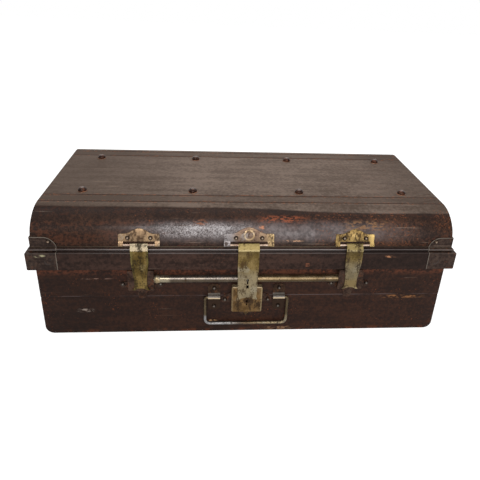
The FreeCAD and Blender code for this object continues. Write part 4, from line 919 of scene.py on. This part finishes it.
# %% [markdown]
# A rivet is a low dome. A stud stands taller on a shallow dish, which here is the same head
# again, only wider and flatter. The heads take the place of the plain solids and move with
# the body or the lid.

# %% Rivets and studs
RIVET_RADIUS, RIVET_RISE = 0.004, 0.003
STUD_RADIUS, STUD_RISE = 0.0082, 0.0066
DISH_RADIUS, DISH_DROP, DISH_RISE = 0.009, 0.0012, 0.00192
HEAD_SETS = (
    ("trunk_rivet_heads", "body_rivets", "trunk", DULL_HEAD, RIVET_RADIUS, RIVET_RISE),
    ("lid_rivet_heads", "lid_rivets", "lid", HEAD_IRON, RIVET_RADIUS, RIVET_RISE),
    ("stud_heads", "lid_studs", "lid", STUD_IRON, STUD_RADIUS, STUD_RISE),
)
for name, node, body, finish, radius, rise in HEAD_SETS:
    values = {"Radius": radius, "Rise": rise, "Finish": finish}
    piece = grow(name, seats(seat_lists[node]), HEADS, HEAD_KEYS, values)
    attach(piece, body)
    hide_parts(node)
dishes = [(seat - way * DISH_DROP, way) for seat, way in seat_lists["lid_studs"]]
values = {"Radius": DISH_RADIUS, "Rise": DISH_RISE, "Finish": DISH_IRON}
piece = grow("stud_dishes", seats(dishes), HEADS, HEAD_KEYS, values)
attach(piece, "lid")
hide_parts("stud_washers")

# %% [markdown]
# Each drop handle is one length of round wire, bent cold round a former. A bend of this kind
# is a straight path with rounded corners, so the tree rounds the corners of a plain path and
# sweeps a circle along it. The radius stored in each point says how tight its corner is.


# %% A tree that bends wire
def wire_tree():
    tree = bpy.data.node_groups.new("bent_wire", "GeometryNodeTree")
    keys = {
        "Path": input_socket(tree, "Path", "NodeSocketGeometry"),
        "Thickness": input_socket(tree, "Thickness", "NodeSocketFloat", 0.00275),
        "Finish": input_socket(tree, "Finish", "NodeSocketMaterial"),
    }
    tree.interface.new_socket("Wire", in_out="OUTPUT", socket_type="NodeSocketGeometry")
    start = tree.nodes.new("NodeGroupInput").outputs
    bend = add(tree, "GeometryNodeInputRadius")
    rounded = add(tree, "GeometryNodeFilletCurve", {"mode": "POLY"},
                  {"Curve": start["Path"], "Count": 8, "Radius": bend.outputs[0],
                   "Limit Radius": True})
    even = add(tree, "GeometryNodeSetCurveRadius", None,
               {"Curve": rounded.outputs[0], "Radius": 1.0})
    circle = add(tree, "GeometryNodeCurvePrimitiveCircle", None,
                 {"Resolution": 16, "Radius": start["Thickness"]})
    tube = add(tree, "GeometryNodeCurveToMesh", None,
               {"Curve": even.outputs[0], "Profile Curve": circle.outputs[0], "Fill Caps": True})
    smooth = add(tree, "GeometryNodeSetShadeSmooth", None, {"Geometry": tube.outputs[0]})
    real = add(tree, "GeometryNodeRealizeInstances", None, {0: smooth.outputs[0]})
    painted = add(tree, "GeometryNodeSetMaterial", None,
                  {"Geometry": real.outputs[0], "Material": start["Finish"]})
    add(tree, "NodeGroupOutput", None, {0: painted.outputs[0]})
    return tree, keys


WIRE, WIRE_KEYS = wire_tree()
print("wire tree has", len(WIRE.nodes), "nodes")

# %% Drop handles
WIRE_RADIUS, TAIL, UPPER_BEND, LOWER_BEND = 0.00275, 0.0265, 0.004, 0.010
# the plain solids are eight-sided, so their boxes reach only this share of the radius
FLAT_SHARE = math.cos(math.pi / 8)


def path_object(points):
    """A straight-sided path with a bend radius in each point."""
    curve = bpy.data.curves.new("path", "CURVE")
    curve.dimensions = "3D"
    spline = curve.splines.new("POLY")
    spline.points.add(len(points) - 1)
    for target, (place, bend) in zip(spline.points, points):
        target.co = (*place, 1)
        target.radius = bend
    return bpy.data.objects.new("path", curve)


for side in ("front", "left", "right"):
    low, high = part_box(f"{side}_handle_bail")
    middle = (low + high) / 2
    across = Vector((1, 0, 0)) if side == "front" else Vector((0, 1, 0))
    half = abs((high - low).dot(across)) / 2 - WIRE_RADIUS * FLAT_SHARE
    rise = (high.z - low.z) / 2 - WIRE_RADIUS * FLAT_SHARE
    corners = [
        (half - TAIL, rise, 0), (half, rise, UPPER_BEND), (half, -rise, LOWER_BEND),
        (-half, -rise, LOWER_BEND), (-half, rise, UPPER_BEND), (TAIL - half, rise, 0),
    ]
    points = [(middle + across * out + Vector((0, 0, lift)), bend) for out, lift, bend in corners]
    values = {"Thickness": WIRE_RADIUS, "Finish": WIRE_BRASS}
    piece = grow(f"{side}_handle_wire", path_object(points), WIRE, WIRE_KEYS, values)
    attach(piece, f"{side}_handle")
    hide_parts(f"{side}_handle_bail")

# %% [markdown]
# Three small ornaments are too fine for the solids: a plain raised ring on the middle plate,
# a rim round the keyhole of the lock box, and flutes on the drop below it. The plate is curved,
# so a ring drawn flat would float off it. A ray cast at the solid from in front finds the
# surface under each point, and the ring follows it.


# %% Pieces with their own mesh
RAY_START, LEAST_FACING = -0.5, -0.5


def own_mesh(name, points, faces, finish):
    """A closed, smooth mesh object whose faces point outwards."""
    mesh = bpy.data.meshes.new(name)
    mesh.from_pydata(points, [], faces)
    shape = bmesh.new()
    shape.from_mesh(mesh)
    bmesh.ops.recalc_face_normals(shape, faces=shape.faces)
    shape.to_mesh(mesh)
    shape.free()
    mesh.polygons.foreach_set("use_smooth", [True] * len(mesh.polygons))
    mesh.materials.append(finish)
    piece = bpy.data.objects.new(name, mesh)
    scene.collection.objects.link(piece)
    print(name, len(faces), "faces")
    return piece


def front_of(node):
    """A function that finds the front of a solid at (x, z), and the way it faces there."""
    mesh = nodes[node].data
    tree = BVHTree.FromPolygons(
        [vertex.co for vertex in mesh.vertices], [face.vertices for face in mesh.polygons])
    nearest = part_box(node)[0].y

    def find(x, z):
        spot, facing, _, _ = tree.ray_cast(Vector((x, RAY_START, z)), Vector((0, 1, 0)))
        if spot is None or facing.y > LEAST_FACING:
            return Vector((x, nearest, z)), Vector((0, -1, 0))
        return spot, facing

    return find


# %% Rings that lie on a surface
def laid_ring(name, find, middle, radius, wall, rise, finish, turns=40, sides=8):
    """A low round ring on a surface; middle is its (x, z) and rise its height in walls."""
    points = []
    for turn in range(turns):
        angle = math.tau * turn / turns
        across, high = math.cos(angle), math.sin(angle)
        spot, facing = find(middle[0] + radius * across, middle[1] + radius * high)
        outward = Vector((across, 0, high))
        outward = (outward - facing * outward.dot(facing)).normalized()
        for side in range(sides):
            around = math.tau * side / sides
            lift = facing * wall * rise * math.sin(around)
            points.append(spot + outward * wall * math.cos(around) + lift)
    faces = []
    for turn in range(turns):
        for side in range(sides):
            here, there = turn * sides, (turn + 1) % turns * sides
            after = (side + 1) % sides
            faces.append((here + side, here + after, there + after, there + side))
    return own_mesh(name, points, faces, finish)


RING_MIDDLE = (0, PARTING + 0.0304)
RING_RADIUS, RING_WALL, RING_RISE = 0.0082, 0.0019, 0.14
ring = laid_ring("plate_ring", front_of("hasp_plate_center"), RING_MIDDLE,
                 RING_RADIUS, RING_WALL, RING_RISE, RING_BRASS)
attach(ring, "lid")

KEYHOLE_MIDDLE = (0, BOX_TOP - 0.0300)
KEYHOLE_RADIUS, KEYHOLE_WALL, KEYHOLE_RISE = 0.0052, 0.0008, 0.7
rim = laid_ring("keyhole_rim", front_of("lock_box"), KEYHOLE_MIDDLE,
                KEYHOLE_RADIUS, KEYHOLE_WALL, KEYHOLE_RISE, BOX_BRASS)
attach(rim, "trunk")

# %% [markdown]
# The drop under the lock box is fluted. Five short rods that draw together towards the tip
# give the flutes. The tree that bends the handles' wire makes them too, from straight paths.

# %% Flutes of the drop under the lock box
FLUTE_PITCH, FLUTE_RADIUS, FLUTE_TAPER, FLUTE_STEP = 0.0030, 0.0011, 0.55, 0.16
FLUTE_SEAT, FLUTE_TIP = 0.0002, 0.0012
box_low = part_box("lock_box")[0].z
drop_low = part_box("lock_base_plate")[0].z
find = front_of("lock_base_plate")
for number in range(-2, 3):
    top_x = number * FLUTE_PITCH
    tall = (box_low - drop_low) * (1 - FLUTE_STEP * abs(number))
    ends = [(top_x, box_low - FLUTE_SEAT), (top_x * FLUTE_TAPER, box_low - tall + FLUTE_TIP)]
    points = [(find(x, z)[0], 0) for x, z in ends]
    piece = grow(f"drop_flute_{number + 3}", path_object(points), WIRE, WIRE_KEYS,
                 {"Thickness": FLUTE_RADIUS, "Finish": BOX_BRASS if number else WIRE_BRASS})
    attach(piece, "trunk")

# %% [markdown]
# The left end of the bar's sleeve is swollen into a rounded collar, as turned brass. A profile
# of radii along the bar, turned round its axis, gives it. Where it would cut into the trunk it
# is pressed flat against the wall.

# %% Collar of the bar
COLLAR_SHARES = ((0.0, 0.75), (0.05, 1.02), (0.15, 1.16), (0.35, 1.24), (0.6, 1.20),
                 (0.85, 1.10), (1.0, 1.02))
COLLAR_START, COLLAR_LENGTH, COLLAR_SIDES, WALL_GAP = 0.0003, 0.0105, 24, 0.0002
sleeve_low, sleeve_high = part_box("bar_casing")
sleeve = (sleeve_high.z - sleeve_low.z) / 2
points = []
for share, width in COLLAR_SHARES:
    along = sleeve_low.x + COLLAR_START + share * COLLAR_LENGTH
    for side in range(COLLAR_SIDES):
        angle = math.tau * side / COLLAR_SIDES
        depth = sleeve_low.y + sleeve + sleeve * width * math.cos(angle)
        height = BAR_HEIGHT + sleeve * width * math.sin(angle)
        points.append((along, min(depth, sleeve_high.y - WALL_GAP), height))
faces = []
for row in range(len(COLLAR_SHARES) - 1):
    here, there = row * COLLAR_SIDES, (row + 1) * COLLAR_SIDES
    for side in range(COLLAR_SIDES):
        after = (side + 1) % COLLAR_SIDES
        faces.append((here + side, here + after, there + after, there + side))
last = (len(COLLAR_SHARES) - 1) * COLLAR_SIDES
faces += [tuple(range(COLLAR_SIDES)), tuple(range(last, last + COLLAR_SIDES))]
collar = own_mesh("bar_collar", points, faces, COLLAR_BRASS)
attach(collar, "trunk")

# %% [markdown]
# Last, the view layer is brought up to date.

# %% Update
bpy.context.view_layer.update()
